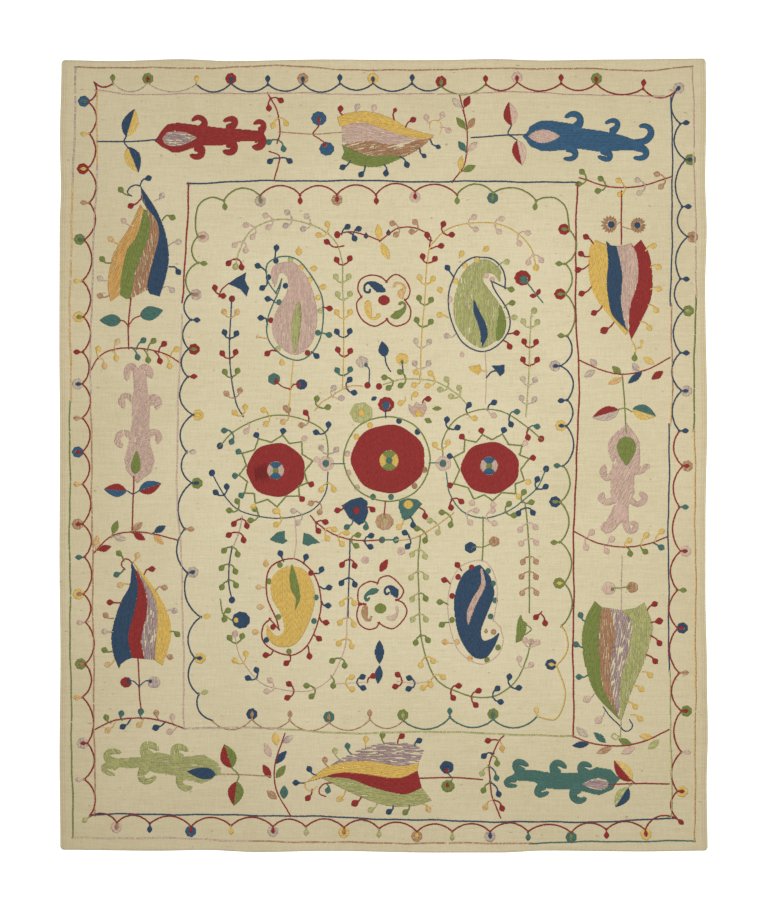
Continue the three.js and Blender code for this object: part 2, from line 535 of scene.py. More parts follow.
@dataclass
class KilimCloth:
    """The plain-woven cream ground, one cloth with ribbed selvedges and narrow turned ends."""

    width: float = 1.600
    length: float = 1.960
    thickness: float = 3.0 * MM
    rib_pitch: float = 6.0 * MM
    rib_count: int = 2
    rib_rise: float = 0.7 * MM
    # How dark the painted shade in the valleys between the ribs is, from 0 to 1.
    valley_shade_depth: float = 0.4
    hem_depth: float = 18.0 * MM
    hem_rise: float = 0.6 * MM
    corner_radius: float = 10.0 * MM
    edge_round: float = 1.6 * MM
    unevenness: float = 0.25 * MM
    wave_across: float = 0.310
    wave_along: float = 0.430
    rib_column: float = 1.0 * MM
    even_columns: int = 120
    even_rows: int = 170

    def lines(self, span: float, fine: float, depth: float, count: int) -> np.ndarray:
        """Places the mesh's lines across the cloth, fine at both edges.

        Args:
            span: From edge to edge.
            fine: The step near the edges.
            depth: How far in from each edge the fine steps go.
            count: How many even steps lie between.

        Returns:
            The places, from the low edge to the high one.
        """
        near = np.arange(0.0, depth, fine)
        even = np.linspace(depth - span / 2, span / 2 - depth, count + 1)
        return np.concatenate([near - span / 2, even, (span / 2 - near)[::-1]])

    def outlined(self, x: np.ndarray, y: np.ndarray) -> tuple[np.ndarray, np.ndarray]:
        """Moves points of the straight rectangle into the wandering outline.

        Args:
            x: Their places across the rug.
            y: Their places along it.

        Returns:
            The moved places.
        """
        half_x, half_y = self.width / 2, self.length / 2
        over_x = np.maximum(np.abs(x) - (half_x - self.corner_radius), 0)
        over_y = np.maximum(np.abs(y) - (half_y - self.corner_radius), 0)
        reach = np.maximum(np.hypot(over_x, over_y), 1e-12)
        shrink = np.where((over_x > 0) & (over_y > 0), np.maximum(over_x, over_y) / reach, 1.0)
        round_x = x - np.sign(x) * over_x * (1 - shrink)
        round_y = y - np.sign(y) * over_y * (1 - shrink)
        sideways = np.where(x < 0, -edge_offset(LEFT_EDGE, y), edge_offset(RIGHT_EDGE, y))
        endways = np.where(y < 0, -edge_offset(BOTTOM_EDGE, x), edge_offset(TOP_EDGE, x))
        pull_x = (np.abs(x) / half_x) ** 3
        pull_y = (np.abs(y) / half_y) ** 3
        return round_x + sideways * pull_x, round_y + endways * pull_y

    def top(self, x: np.ndarray, y: np.ndarray) -> np.ndarray:
        """Gives the height of the cloth's upper face.

        Args:
            x: Places across the rug, in metres.
            y: Places along it.

        Returns:
            Heights over the floor.
        """
        from_side = self.width / 2 - np.abs(x)
        from_end = self.length / 2 - np.abs(y)
        ribs = self.rib_rise * np.abs(np.sin(np.pi * from_side / self.rib_pitch))
        ribs = np.where(from_side < self.rib_pitch * self.rib_count, ribs, 0)
        hem_share = np.clip((from_end / self.hem_depth - 0.7) / 0.3, 0, 1)
        hem = self.hem_rise * (1 - hem_share * hem_share * (3 - 2 * hem_share))
        waves = np.sin(2 * np.pi * x / self.wave_across + y / self.wave_along)
        waves = waves * np.cos(2 * np.pi * y / self.wave_along - x / self.wave_across)
        raised = self.thickness + ribs + hem + self.unevenness * waves
        for ripple in RIPPLES:
            over_x = (x - ripple.x * MM) / (ripple.along_x * MM)
            over_y = (y - ripple.y * MM) / (ripple.along_y * MM)
            raised = raised + ripple.rise * MM * np.exp(-(over_x * over_x + over_y * over_y))
        return raised

    def build(self) -> bpy.types.Object:
        """Makes the cloth's closed mesh from a grid, doubled for its underside.

        Returns:
            The cloth's object, at the origin.
        """
        columns = self.lines(self.width, self.rib_column, self.rib_pitch * (self.rib_count + 0.5),
                             self.even_columns)
        rows = self.lines(self.length, self.hem_depth / 6, self.hem_depth, self.even_rows)
        across, along = len(columns) - 1, len(rows) - 1
        sheet = bmesh.new()
        bmesh.ops.create_grid(sheet, x_segments=across, y_segments=along, size=0.5)
        bmesh.ops.solidify(sheet, geom=list(sheet.faces), thickness=0.5)
        upper = max(vertex.co.z for vertex in sheet.verts)
        points = np.array([vertex.co for vertex in sheet.verts])
        column = np.clip(np.rint((points[:, 0] + 0.5) * across).astype(int), 0, across)
        row = np.clip(np.rint((points[:, 1] + 0.5) * along).astype(int), 0, along)
        x, y = columns[column], rows[row]
        placed_x, placed_y = self.outlined(x, y)
        is_top = points[:, 2] > upper - 0.1
        inside = np.minimum(self.width / 2 - np.abs(x), self.length / 2 - np.abs(y))
        share = np.clip(1 - inside / self.edge_round, 0, 1)
        tuck = self.thickness / 2 * (1 - np.sqrt(1 - share * share))
        height = self.top(x, y)
        floor = np.maximum(height - self.thickness - self.unevenness - self.hem_rise - self.rib_rise, 0)
        z = np.where(is_top, height - tuck, floor + tuck)
        placed_x -= (placed_x.min() + placed_x.max()) / 2
        placed_y -= (placed_y.min() + placed_y.max()) / 2
        for vertex, place in zip(sheet.verts, np.stack([placed_x, placed_y, z], axis=1).tolist()):
            vertex.co = place
        bmesh.ops.recalc_face_normals(sheet, faces=list(sheet.faces))
        mesh = bpy.data.meshes.new("kilim_ground")
        sheet.to_mesh(mesh)
        sheet.free()
        mesh.shade_smooth()
        # The valleys between the selvedge ribs are painted darker, as shade, through this attribute.
        from_side = self.width / 2 - np.abs(x)
        valleys = sum(np.exp(-((from_side - self.rib_pitch * rib) / self.rib_column) ** 2) for rib in (1, 2))
        dark = mesh.attributes.new("rib_valley_shade", "FLOAT", "POINT")
        dark.data.foreach_set("value", (self.valley_shade_depth * valleys).astype(np.float32))
        cloth = bpy.data.objects.new("kilim_ground", mesh)
        bpy.context.scene.collection.objects.link(cloth)
        lay_flat_map(cloth, spread_by_depth=6.0)
        return cloth

    def declare(self, cloth: bpy.types.Object) -> None:
        """Attaches the cloth to the rug's body and hides the imported cloth that it stands for.

        Args:
            cloth: The cloth.
        """
        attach(cloth, "root")
        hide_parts("rug_cloth")


def lay_flat_map(piece: bpy.types.Object, spread_by_depth: float = 0.0) -> None:
    """Gives a piece a map seen from straight above, so that its colours can lie in one flat picture.

    Args:
        piece: The piece.
        spread_by_depth: How much further out a lower point lies on the map, so that the cloth's thin
            edges get some room of their own.
    """
    mesh = piece.data
    places = np.zeros(len(mesh.vertices) * 3)
    mesh.vertices.foreach_get("co", places)
    places = places.reshape(-1, 3)
    corners = np.zeros(len(mesh.loops), dtype=int)
    mesh.loops.foreach_get("vertex_index", corners)
    depth = places[:, 2].max() - places[:, 2:3]
    spread = places[:, :2] * (1 + spread_by_depth * depth) / 2.05 + 0.5
    flat_map = mesh.uv_layers.new(name="OFBake")
    flat_map.data.foreach_set("uv", spread[corners].ravel())


# Sewing: from laid stitches to meshes


def stitch_template(form: StitchForm) -> tuple[np.ndarray, list[list[int]]]:
    """Makes one stitch one unit long, wide and high, with its ends sunk in the cloth.

    Args:
        form: The stitch's measures.

    Returns:
        Its points and its faces.
    """
    shape = bmesh.new()
    bmesh.ops.create_uvsphere(shape, u_segments=3, v_segments=form.stacks, radius=1.0)
    bmesh.ops.recalc_face_normals(shape, faces=list(shape.faces))
    shape.verts.index_update()
    points = np.array([vertex.co for vertex in shape.verts])
    faces = [[vertex.index for vertex in face.verts] for face in shape.faces]
    shape.free()
    lying = np.stack([points[:, 2], points[:, 1], points[:, 0]], axis=1)
    faces = [face[::-1] for face in faces]
    at_end = np.abs(lying[:, 0]) > 0.99
    lying[:, 0] = np.sign(lying[:, 0]) * np.abs(lying[:, 0]) ** 0.5 / 2
    girth = np.maximum(np.hypot(lying[:, 1], lying[:, 2]), 1e-9)
    fuller = np.where(at_end, 0.0, girth**0.6 / girth)
    lying[:, 1] *= fuller * 0.577
    lying[:, 2] = np.where(at_end, -0.25, lying[:, 2] * fuller * 0.62 + 0.3)
    return lying, faces


def sewn(yarn: Yarn, kind: Stitch, rows: list[tuple[float, ...]], cloth: KilimCloth) -> bpy.types.Object:
    """Joins all the stitches of one yarn and kind into one mesh on the cloth.

    Args:
        yarn: The wool.
        kind: The kind of stitch.
        rows: The stitches' x, y, angle, length, width, lift and shade.
        cloth: The cloth that they lie on.

    Returns:
        The piece, at the origin.
    """
    form = FORMS[kind]
    template, faces = stitch_template(form)
    x, y, angle, length, width, lift, shade = np.array(rows).T[:, :, None]
    along = template[None, :, 0] * length
    across = template[None, :, 1] * width
    point_x = x + along * np.cos(angle) - across * np.sin(angle)
    point_y = y + along * np.sin(angle) + across * np.cos(angle)
    point_z = cloth.top(point_x, point_y) + lift + template[None, :, 2] * form.height
    places = np.stack([point_x, point_y, point_z], axis=2).reshape(-1, 3)
    count, size = len(rows), len(template)
    corners = [[index + stitch * size for index in face] for stitch in range(count) for face in faces]
    name = f"{yarn.value.slot}_{kind.value}"
    mesh = bpy.data.meshes.new(name)
    mesh.from_pydata(places.tolist(), [], corners)
    mesh.shade_smooth()
    thread = mesh.attributes.new("thread", "FLOAT_VECTOR", "POINT")
    # The twist starts somewhere else on each stitch.
    along_thread = along + x * 7 + y * 5
    lie = np.stack([along_thread, np.broadcast_to(template[None, :, 1], along.shape),
                    np.broadcast_to(shade, along.shape)], axis=2)
    thread.data.foreach_set("vector", lie.reshape(-1).astype(np.float32))
    piece = bpy.data.objects.new(name, mesh)
    bpy.context.scene.collection.objects.link(piece)
    lay_flat_map(piece)
    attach(piece, "root")
    return piece


# Motifs


class Motif:
    """One figure of the pattern."""

    def work(self, needle: Needle) -> None:
        """Works the figure with the needle."""
        raise NotImplementedError


@dataclass
class Rule(Motif):
    """A long border line, worked in one or more wools in turn.

    Attributes:
        runs: Each stretch's wool and points, as marks() reads them.
        width: The thread's width, as a share of the usual one.
        missing: The share of stitches that have worn away.
    """

    runs: Sequence[tuple[str, str]]
    width: float = 1.0
    missing: float = 0.0

    def work(self, needle: Needle) -> None:
        """Works each stretch as one line."""
        for name, points in self.runs:
            needle.line(marks(points), yarn_named(name), self.width, self.missing, wander=0.45)


@dataclass
class Stalk(Motif):
    """A plain line in stem stitch through a few points.

    Attributes:
        yarn: Its wool.
        points: Its points, as marks() reads them.
        width: Its thread's width, as a share of the usual one.
        closed: Whether it returns to its first point.
    """

    yarn: str
    points: str
    width: float = 1.0
    closed: bool = False

    def work(self, needle: Needle) -> None:
        """Works the line."""
        needle.line(marks(self.points), yarn_named(self.yarn), self.width, closed=self.closed, wander=0.15)


@dataclass
class Patch(Motif):
    """A small shape filled in one wool.

    Attributes:
        yarn: Its wool.
        points: The points of its outline, as marks() reads them.
        grain: The way its rows run, in degrees.
        soft: Whether the outline bends smoothly at its points.
        lift: How much higher it lies than other stitches.
    """

    yarn: str
    points: str
    grain: float = 90.0
    soft: bool = True
    lift: float = 0.0

    def work(self, needle: Needle) -> None:
        """Fills the shape."""
        points = marks(self.points)
        outline = softened(points, closed=True) if self.soft else np.asarray(points, float)
        needle.fill(outline, yarn_named(self.yarn), self.grain, lift=self.lift)


@dataclass
class Dot(Motif):
    """A small filled oval.

    Attributes:
        yarn: Its wool.
        at: Its middle, as marks() reads it.
        width: Its width.
        height: Its height.
        lift: How much higher it lies than other stitches.
    """

    yarn: str
    at: str
    width: float
    height: float
    lift: float = 0.0

    def work(self, needle: Needle) -> None:
        """Fills the oval."""
        outline = oval(marks(self.at)[0], self.width, self.height)
        needle.fill(outline, yarn_named(self.yarn), 0, lift=self.lift)


@dataclass
class Bend(Motif):
    """A small bent shape filled in one wool, as bent() reads it."""

    yarn: str
    form: str
    grain: float | None = None
    cover: float = 1.0

    def work(self, needle: Needle) -> None:
        """Fills the shape, its rows along its length unless they are set."""
        outline = bent(self.form)
        ends = [tuple(float(value) for value in row.split(",")[:2]) for row in self.form.split()]
        grain = heading_of(ends[0], ends[-1]) if self.grain is None else self.grain
        needle.fill(outline, yarn_named(self.yarn), grain, self.cover)


@dataclass
class Berry(Motif):
    """A berry, bud or small leaf at the end of a stalk.

    Attributes:
        yarn: Its wool.
        ends: Its foot and its tip, as marks() reads them or as points.
        width: Its greatest width.
        belly: Where it is widest, as petal() takes it.
    """

    yarn: str
    ends: str | Points
    width: float = 6.0
    belly: float = 1.5

    def work(self, needle: Needle) -> None:
        """Fills the berry along its own length."""
        base, tip = marks(self.ends) if isinstance(self.ends, str) else self.ends
        way = heading_of(base, tip)
        outline = placed(petal(math.dist(base, tip), self.width, self.belly), base, way)
        needle.small(outline, self.yarn, way)


@dataclass
class CurledBerry(Motif):
    """A round berry on a short stalk that bends towards it.

    Attributes:
        yarn: The wool.
        root: Where the stalk leaves its stem.
        end: The berry's middle.
        bend: How far the stalk bows to its left.
        size: The berry's width.
    """

    yarn: str
    root: Point
    end: Point
    bend: float = 1.5
    size: float = 6.4

    # The berry's length beside its width, how far it reaches back from its middle, and the stalks' widths.
    LENGTH = 1.25
    BACK = 0.72
    PALE_STALK = 0.8
    STALK = 0.9

    def work(self, needle: Needle) -> None:
        """Works the stalk and fills the berry."""
        root, end = np.array(self.root, float), np.array(self.end, float)
        way = end - root
        middle = (root + end) / 2 + np.array([way[1], -way[0]]) / max(np.hypot(*way), 0.1) * self.bend
        yarn = yarn_named(self.yarn)
        thread = self.PALE_STALK if self.yarn in ("pink", "mauve", "gold", "brown") else self.STALK
        needle.line([root, middle, end], yarn, thread, wander=0.05)
        heading = heading_of(middle, end)
        berry = placed(petal(self.size * self.LENGTH, self.size, 1.35), end, heading)
        turn = math.radians(heading)
        berry = berry - np.array([math.cos(turn), math.sin(turn)]) * (self.size * self.BACK)
        needle.small(berry, self.yarn, heading + 90)


def berries(rows: str) -> list[CurledBerry]:
    """Reads berries on bent stalks.

    Args:
        rows: One to a semicolon: the wool, the stalk's root, the berry's middle and, where they aren't the
            usual ones, how far the stalk bows to its left and the berry's width.

    Returns:
        The berries.
    """
    read = []
    for row in rows.split(";"):
        name, root, end, *rest = row.split()
        bend, size = [float(value) for value in rest] + [1.2, 6.4][len(rest):]
        read.append(CurledBerry(name, *marks(f"{root} {end}"), bend, size))
    return read


def leaves(rows: str) -> list[Motif]:
    """Reads small leaves.

    Args:
        rows: One to a semicolon: the wool, the leaf's base, its tip and, where it isn't the usual one, its
            width.

    Returns:
        The leaves.
    """
    read: list[Motif] = []
    for row in rows.split(";"):
        name, base, tip, *rest = row.split()
        read.append(Berry(name, f"{base} {tip}", float(rest[0]) if rest else 6.4, 0.95))
    return read


class Bloom(Enum):
    """What a vine bears."""

    BERRY = "berry"
    LEAF = "leaf"


@dataclass
class Vine(Motif):
    """A stem with pairs of berries or leaves, evenly spaced along it.

    Attributes:
        yarn: The stem's wool.
        stem: The points of the stem, in the direction in which the berries lean.
        pairs: The pairs' wools in order. "red*3" is three red pairs, "red+teal" is red on the stem's
            left and teal on its right, and a side left blank bears nothing.
        start: The first pair's distance from the stem's start, in chart steps.
        stop: The last pair's distance from its end.
        reach: How far out the berries lie.
        lean: The stalks' angle from the stem, in degrees.
        bloom: What it bears.
        tip: The wool of a berry on the stem's end, if any.
        thread: The stem's width, as a share of the usual one.
    """

    yarn: str
    stem: str
    pairs: str = ""
    start: float = 8.0
    stop: float = 8.0
    reach: float = 8.6
    lean: float = 48.0
    bloom: Bloom = Bloom.BERRY
    tip: str = ""
    thread: float = 0.8

    def sides(self) -> list[tuple[str, str]]:
        """Reads the pairs' wools, left and right."""
        read = []
        for word in self.pairs.split():
            name, _, times = word.partition("*")
            left, plus, right = name.partition("+")
            read.extend([(left, right if plus else left)] * int(times or 1))
        return read

    def work(self, needle: Needle) -> None:
        """Works the stem, then each pair."""
        stem = marks(self.stem)
        path = softened(stem, spacing=0.5)
        needle.line(stem, yarn_named(self.yarn), self.thread, wander=0.15)
        pairs = self.sides()
        total = (len(path) - 1) * 0.5
        room = max(total - self.start - self.stop, 0.0)
        for number, pair in enumerate(pairs):
            share = number / (len(pairs) - 1) if len(pairs) > 1 else 0.5
            place = int((self.start + room * share + needle.draws.uniform(-0.8, 0.8)) * 2)
            place = min(max(place, 0), len(path) - 2)
            root = path[place]
            way = path[place + 1] - root
            heading = math.degrees(math.atan2(way[1], way[0]))
            for side, name in zip((-1, 1), pair):
                if name:
                    self.bear(needle, name, root, heading, side)
        if self.tip:
            end = path[-1]
            needle.fill(oval(end, 6.6, 6.6), yarn_named(self.tip), 20)

    def bear(self, needle: Needle, name: str, root: np.ndarray, heading: float, side: int) -> None:
        """Works one berry or leaf.

        Args:
            needle: The needle.
            name: Its wool.
            root: Where its stalk leaves the stem.
            heading: The stem's direction there.
            side: -1 for the stem's left and 1 for its right.
        """
        angle = math.radians(heading + side * (self.lean + needle.draws.uniform(-7, 7)))
        reach = self.reach * needle.draws.uniform(0.92, 1.1)
        way = np.array([math.cos(angle), math.sin(angle)])
        if self.bloom is Bloom.BERRY:
            bend = -side * 1.6
            CurledBerry(name, root, root + way * reach, bend).work(needle)
            return
        foot = root + way * reach * 0.28
        point = root + way * reach * 1.9
        needle.line([root, foot + way], yarn_named(name), 0.7, wander=0)
        Berry(name, (foot, point), 6.6, 0.9).work(needle)


@dataclass
class Scallop(Motif):
    """A run of arcs from cusp to cusp, with a bud or a round flower at each cusp.

    Attributes:
        runs: Each run's wool and its cusps. A cusp is "x,y" and, where it bears something, "bud" or
            "round", its wool and the wool of its heart.
        bulge: How far the arcs bow to the right of the way they run.
    """

    runs: Sequence[tuple[str, str]]
    bulge: float

    # An arc shorter than this bows less, in chart steps.
    FULL_ARC = 38.0
    BUD = (10.0, 4.9)
    FLOWER = 11.6
    FLOWER_REACH = 5.0
    HEART = (7.4, 3.6)

    def cusps(self) -> list[tuple[str, np.ndarray, list[str]]]:
        """Reads the cusps: the wool of the arc that leaves it, its place and what it bears."""
        read = []
        for yarn, cusps in self.runs:
            for cusp in cusps.split(";"):
                place, *words = cusp.split()
                read.append((yarn, np.array([float(v) for v in place.split(",")]), words))
        return read

    def work(self, needle: Needle) -> None:
        """Works the arcs, then what stands at the cusps."""
        cusps = self.cusps()
        for (yarn, start, _), (_, end, _) in zip(cusps, cusps[1:]):
            way = end - start
            right = np.array([-way[1], way[0]]) / np.hypot(*way)
            bow = self.bulge * min(1.0, np.hypot(*way) / self.FULL_ARC) * needle.draws.uniform(0.88, 1.08)
            share = np.linspace(0, 1, 9)
            arc = start + way * share[:, None] + right * (bow * np.sin(np.pi * share) ** 0.8)[:, None]
            thread = 0.75 if yarn in ("mauve", "pink", "brown") else 0.95
            needle.line(arc, yarn_named(yarn), thread, wander=0.15)
        for number, (yarn, place, words) in enumerate(cusps):
            if not words:
                continue
            before = cusps[max(number - 1, 0)][1]
            after = cusps[min(number + 1, len(cusps) - 1)][1]
            way = (after - before) / np.hypot(*(after - before))
            out = np.array([way[1], -way[0]]) * math.copysign(1.0, self.bulge)
            if words[0] == "bud":
                self.bud(needle, place, out, words[1])
            else:
                self.flower(needle, place, out, words[1], words[2])

    def bud(self, needle: Needle, place: np.ndarray, out: np.ndarray, yarn: str) -> None:
        """Works a pointed bud on a short stalk.

        Args:
            needle: The needle.
            place: The cusp.
            out: The way out from the arcs.
            yarn: The bud's wool.
        """
        length, width = self.BUD
        needle.line([place, place + out * 3], yarn_named(yarn), 0.8, wander=0)
        Berry(yarn, (place + out * 1.5, place + out * length), width, 1.15).work(needle)

    def flower(self, needle: Needle, place: np.ndarray, out: np.ndarray, yarn: str, heart: str) -> None:
        """Works a round flower with a heart that reaches back to the cusp.

        Args:
            needle: The needle.
            place: The cusp.
            out: The way out from the arcs.
            yarn: The flower's wool.
            heart: The heart's wool.
        """
        centre = place + out * self.FLOWER_REACH
        heading = math.degrees(math.atan2(out[1], out[0]))
        hole = placed(petal(*self.HEART, 1.2), place + out * 0.5, heading)
        rim = oval(centre, self.FLOWER, self.FLOWER, 7, 0.09)
        needle.small(rim, yarn, heading + 90, [hole])
        needle.fill(hole, yarn_named(heart), heading)


@dataclass
class Fan(Motif):
    """A striped fan leaf whose stripes run together at its tip.

    Attributes:
        seams: The lines that part its stripes, from base to tip, the first edge to the last.
        stripes: Each stripe's wool, how closely it is filled, how far its rows turn from its length, and
            the points of its base between its two seams.
        fringe: The berries along its edges, as berries() reads them.
    """

    seams: Sequence[str]
    stripes: Sequence[tuple[str, float, float, str]]
    fringe: str

    def work(self, needle: Needle) -> None:
        """Fills each stripe, then works the berries."""
        curves = [softened(marks(seam)) for seam in self.seams]
        for (name, cover, turn, foot), first, last in zip(self.stripes, curves, curves[1:]):
            way = first[-1] + last[-1] - first[0] - last[0]
            heading = math.degrees(math.atan2(way[1], way[0]))
            outline = np.vstack([first, last[::-1], *marks(foot)[::-1]])
            needle.fill(outline, yarn_named(name), heading + turn, cover)
        for berry in berries(self.fringe):
            berry.work(needle)


@dataclass
class HookedPlant(Motif):
    """A long plant with a round head, an inset leaf in it and curled hooks down both its sides.

    Attributes:
        yarn: The wool.
        body: The body from the head's tip down, as bent() reads it.
        hooks: One to a semicolon: the hook's root, its tip, how far it bows out of the line between them
            as a share of that line, and its width.
        leaf: The inset leaf's wool, its base and tip, its width, its belly and how closely it is filled.
        cover: How closely the plant is filled.
        turn: How far its rows turn from its length, in degrees.
        knobbed: Whether its hooks end in knobs.
    """

    yarn: str
    body: str
    hooks: str
    leaf: tuple[str, str, float, float, float]
    cover: float = 1.0
    turn: float = 0.0
    knobbed: bool = False

    # A hook's middle line, as shares of the line from its root to its tip and of its bow, and its widths.
    LINE = ((0.0, 0.0), (0.08, 0.62), (0.33, 0.98), (0.66, 0.92), (0.9, 0.52), (1.0, 0.0))
    GIRTH = (1.3, 1.0, 0.86, 0.8, 0.72, 0.5)
    KNOB = (1.1, 0.95, 0.9, 1.0, 1.15, 0.85)

    def work(self, needle: Needle) -> None:
        """Fills the body round its inset leaf, then the leaf and the hooks."""
        name, ends, width, belly, leaf_cover = self.leaf
        base, tip = marks(ends)
        inset = placed(petal(math.dist(base, tip), width, belly), base, heading_of(base, tip))
        form = bent(self.body)
        spread = np.ptp(form, axis=0)
        grain = 0.0 if spread[0] > spread[1] else 90.0
        needle.fill(form, yarn_named(self.yarn), grain + self.turn, self.cover, [inset])
        needle.fill(inset, yarn_named(name), heading_of(base, tip) + 12, leaf_cover)
        for row in self.hooks.split(";"):
            self.hook(needle, row)

    def hook(self, needle: Needle, row: str) -> None:
        """Fills one hook.

        Args:
            needle: The needle.
            row: The hook's root, tip, bow and width.
        """
        root_text, tip_text, bow, width = row.split()
        root, tip = np.array(marks(f"{root_text} {tip_text}"))
        ahead = tip - root
        aside = np.array([-ahead[1], ahead[0]]) * float(bow)
        spine = [root + ahead * u + aside * v for u, v in self.LINE]
        girth = self.KNOB if self.knobbed else self.GIRTH
        outline = tapered(spine, [float(width) * share for share in girth])
        heading = math.degrees(math.atan2(aside[1], aside[0]))
        needle.fill(outline, yarn_named(self.yarn), heading + 35, self.cover)


@dataclass
class TwinLeaf(Motif):
    """A leaf in two wools, one on each side of its midrib.

    Attributes:
        left: The wool of its left half, seen from its foot.
        right: The wool of its right half.
        ends: Its foot and its tip, as marks() reads them.
        width: Its greatest width.
    """

    left: str
    right: str
    ends: str
    width: float

    def work(self, needle: Needle) -> None:
        """Fills both halves along the leaf."""
        base, tip = marks(self.ends)
        way = heading_of(base, tip)
        length = math.dist(base, tip)
        for side, name in ((-1, self.left), (1, self.right)):
            half = placed(petal(length, self.width, 0.85, side), base, way)
            needle.small(half, name, way + side * 8)


@dataclass
class RoundFlower(Motif):
    """A round flower with a heart, in rows or in rays.

    Attributes:
        yarn: Its wool.
        heart: The heart's wool.
        centre: Its middle.
        size: Its width.
        core: The heart's width.
        towards: Where the heart lies towards, such as the stalk's end.
        lobes: How many scallops its rim has.
        rays: Whether it is worked in rays.
    """

    yarn: str
    heart: str
    centre: Point
    size: float
    core: float
    towards: Point = (0.0, 0.0)
    lobes: int = 9
    rays: bool = False

    # The rays' step round the flower, in degrees, and each ray's width.
    RAY_STEP = 22
    RAY_WIDTH = 2.1

    def work(self, needle: Needle) -> None:
        """Fills the flower round its heart, then the heart."""
        way = np.array(self.towards)
        middle = np.array(self.centre) + way
        heart = oval(middle, self.core, self.core)
        if self.rays:
            for turn in range(0, 352, self.RAY_STEP):
                angle = math.radians(turn)
                out = np.array([math.cos(angle), math.sin(angle)])
                start = middle + out * self.core * 0.4
                end = np.array(self.centre) + out * self.size / 2
                ray = placed(petal(math.dist(start, end), self.RAY_WIDTH, 1.2), start, turn)
                needle.fill(ray, yarn_named(self.yarn), turn)
        else:
            rim = oval(self.centre, self.size, self.size * 0.96, self.lobes, 0.08)
            needle.small(rim, self.yarn, 90, [heart])
        needle.fill(heart, yarn_named(self.heart), 0)


@dataclass
class Paisley(Motif):
    """A filled drop with a curled tip inside its own outline ring.

    Attributes:
        fill: The drop's wool.
        drop: The points of its outline.
        ring: The ring's wool and its points, from the notch round to the curled end.
        leaf: The inset leaf's wool and its form, as bent() reads it.
        dots: The dots just inside the ring, one to a semicolon: the wool and the place.
        fringe: The berries outside it, as berries() reads them.
        cover: How closely the drop is filled.
        thread: The ring thread's width.
    """

    fill: str
    drop: str
    ring: tuple[str, str]
    leaf: tuple[str, str]
    dots: str
    fringe: str
    cover: float = 1.0
    thread: float = 1.0

    def work(self, needle: Needle) -> None:
        """Fills the drop round its leaf, then works the ring, its dots and its berries."""
        leaf = bent(self.leaf[1])
        needle.fill(softened(marks(self.drop), closed=True), yarn_named(self.fill), 90, self.cover, [leaf])
        needle.fill(leaf, yarn_named(self.leaf[0]), 90)
        ring = marks(self.ring[1])
        wool = yarn_named(self.ring[0])
        needle.line(ring, wool, self.thread, wander=0.2)
        needle.line([ring[-1], ring[0]], wool, self.thread, soft=False, wander=0)
        for row in self.dots.split(";"):
            name, place = row.split()
            needle.small(oval(marks(place)[0], 5.8, 5.6), name, 10)
        for berry in berries(self.fringe):
            berry.work(needle)


@dataclass
class Medallion(Motif):
    """A great red rosette with a small four-part core.

    Attributes:
        centre: Its middle.
        size: Its width and height.
        core: The core's middle.
        core_size: The core's width.
        sides: The wool of the core's left and right parts.
        ends: The wool of its upper and lower parts.
        middle: The wool of its middle.
        stain: An old stain's place and reach, if it has one.
    """

    centre: Point
    size: tuple[float, float]
    core: Point
    core_size: float
    sides: str
    ends: str
    middle: str
    stain: tuple[float, float, float] | None = None

    # How much darker the old stain is, and the middle's width beside the core's.
    STAIN = -5.0
    MIDDLE = 0.34

    def tone(self, x: float, y: float) -> float:
        """Darkens the stitches under the old stain."""
        if self.stain is None:
            return 0.0
        return self.STAIN if math.dist((x, y), self.stain[:2]) < self.stain[2] else 0.0

    def work(self, needle: Needle) -> None:
        """Fills the disc round its core, then the core's four parts and its middle."""
        core = oval(self.core, self.core_size, self.core_size * 1.05)
        rim = oval(self.centre, *self.size, lobes=7, depth=0.035)
        needle.fill(rim, Yarn.RED, 84, 1.0, [core], tone=self.tone)
        heart = oval(self.core, self.core_size * self.MIDDLE, self.core_size * self.MIDDLE)
        for turn, name in ((0, self.sides), (90, self.ends), (180, self.sides), (270, self.ends)):
            span = np.radians(np.linspace(turn - 45, turn + 45, 9))
            arc = np.stack([np.cos(span), np.sin(span) * 1.05], axis=1) * self.core_size / 2 + self.core
            needle.fill(np.vstack([arc, [self.core]]), yarn_named(name))
        needle.fill(heart, yarn_named(self.middle), 90, lift=0.5 * MM)


@dataclass
class StarRing(Motif):
    """A zigzag ring round a rosette, with a berry at each point.

    Attributes:
        centre: The rosette's middle.
        tips: The ring's points, clockwise from the top.
        berries: The wool of the berry at each of them.
        depth: How far out the notches between them lie, as a share of the line from point to point.
    """

    centre: Point
    tips: str
    berries: str
    depth: float = 0.84

    # A berry's length and width.
    BERRY = (8.0, 6.2)

    def work(self, needle: Needle) -> None:
        """Works the berries, then the zigzag from point to point."""
        middle = np.array(self.centre, float)
        tips = np.array(marks(self.tips))
        for name, tip in zip(self.berries.split(), tips):
            way = (tip - middle) / np.hypot(*(tip - middle))
            Berry(name, (tip, tip + way * self.BERRY[0]), self.BERRY[1], 1.4).work(needle)
        notches = middle + ((tips + np.roll(tips, -1, axis=0)) / 2 - middle) * self.depth
        points = [point for pair in zip(tips, notches) for point in pair]
        needle.line([*points, points[0]], Yarn.GREEN, 0.9, soft=False, wander=0)


@dataclass
class Quatrefoil(Motif):
    """A four-lobed outline with a dot in its middle and a curled drop in each lobe.

    Attributes:
        outline: The outline's four lobes, each from notch to notch.
        dot: The dot's wool and middle.
        drops: Each drop's wool and its form, as bent() reads it.
    """

    outline: Sequence[str]
    dot: tuple[str, Point]
    drops: Sequence[tuple[str, str]]

    def work(self, needle: Needle) -> None:
        """Works the lobes, the dot and the drops."""
        for lobe in self.outline:
            needle.line(marks(lobe), Yarn.RED, 0.85, wander=0.15)
        needle.fill(oval(self.dot[1], 12, 9.8), yarn_named(self.dot[0]), 0)
        for name, form in self.drops:
            needle.small(bent(form), name, 60)
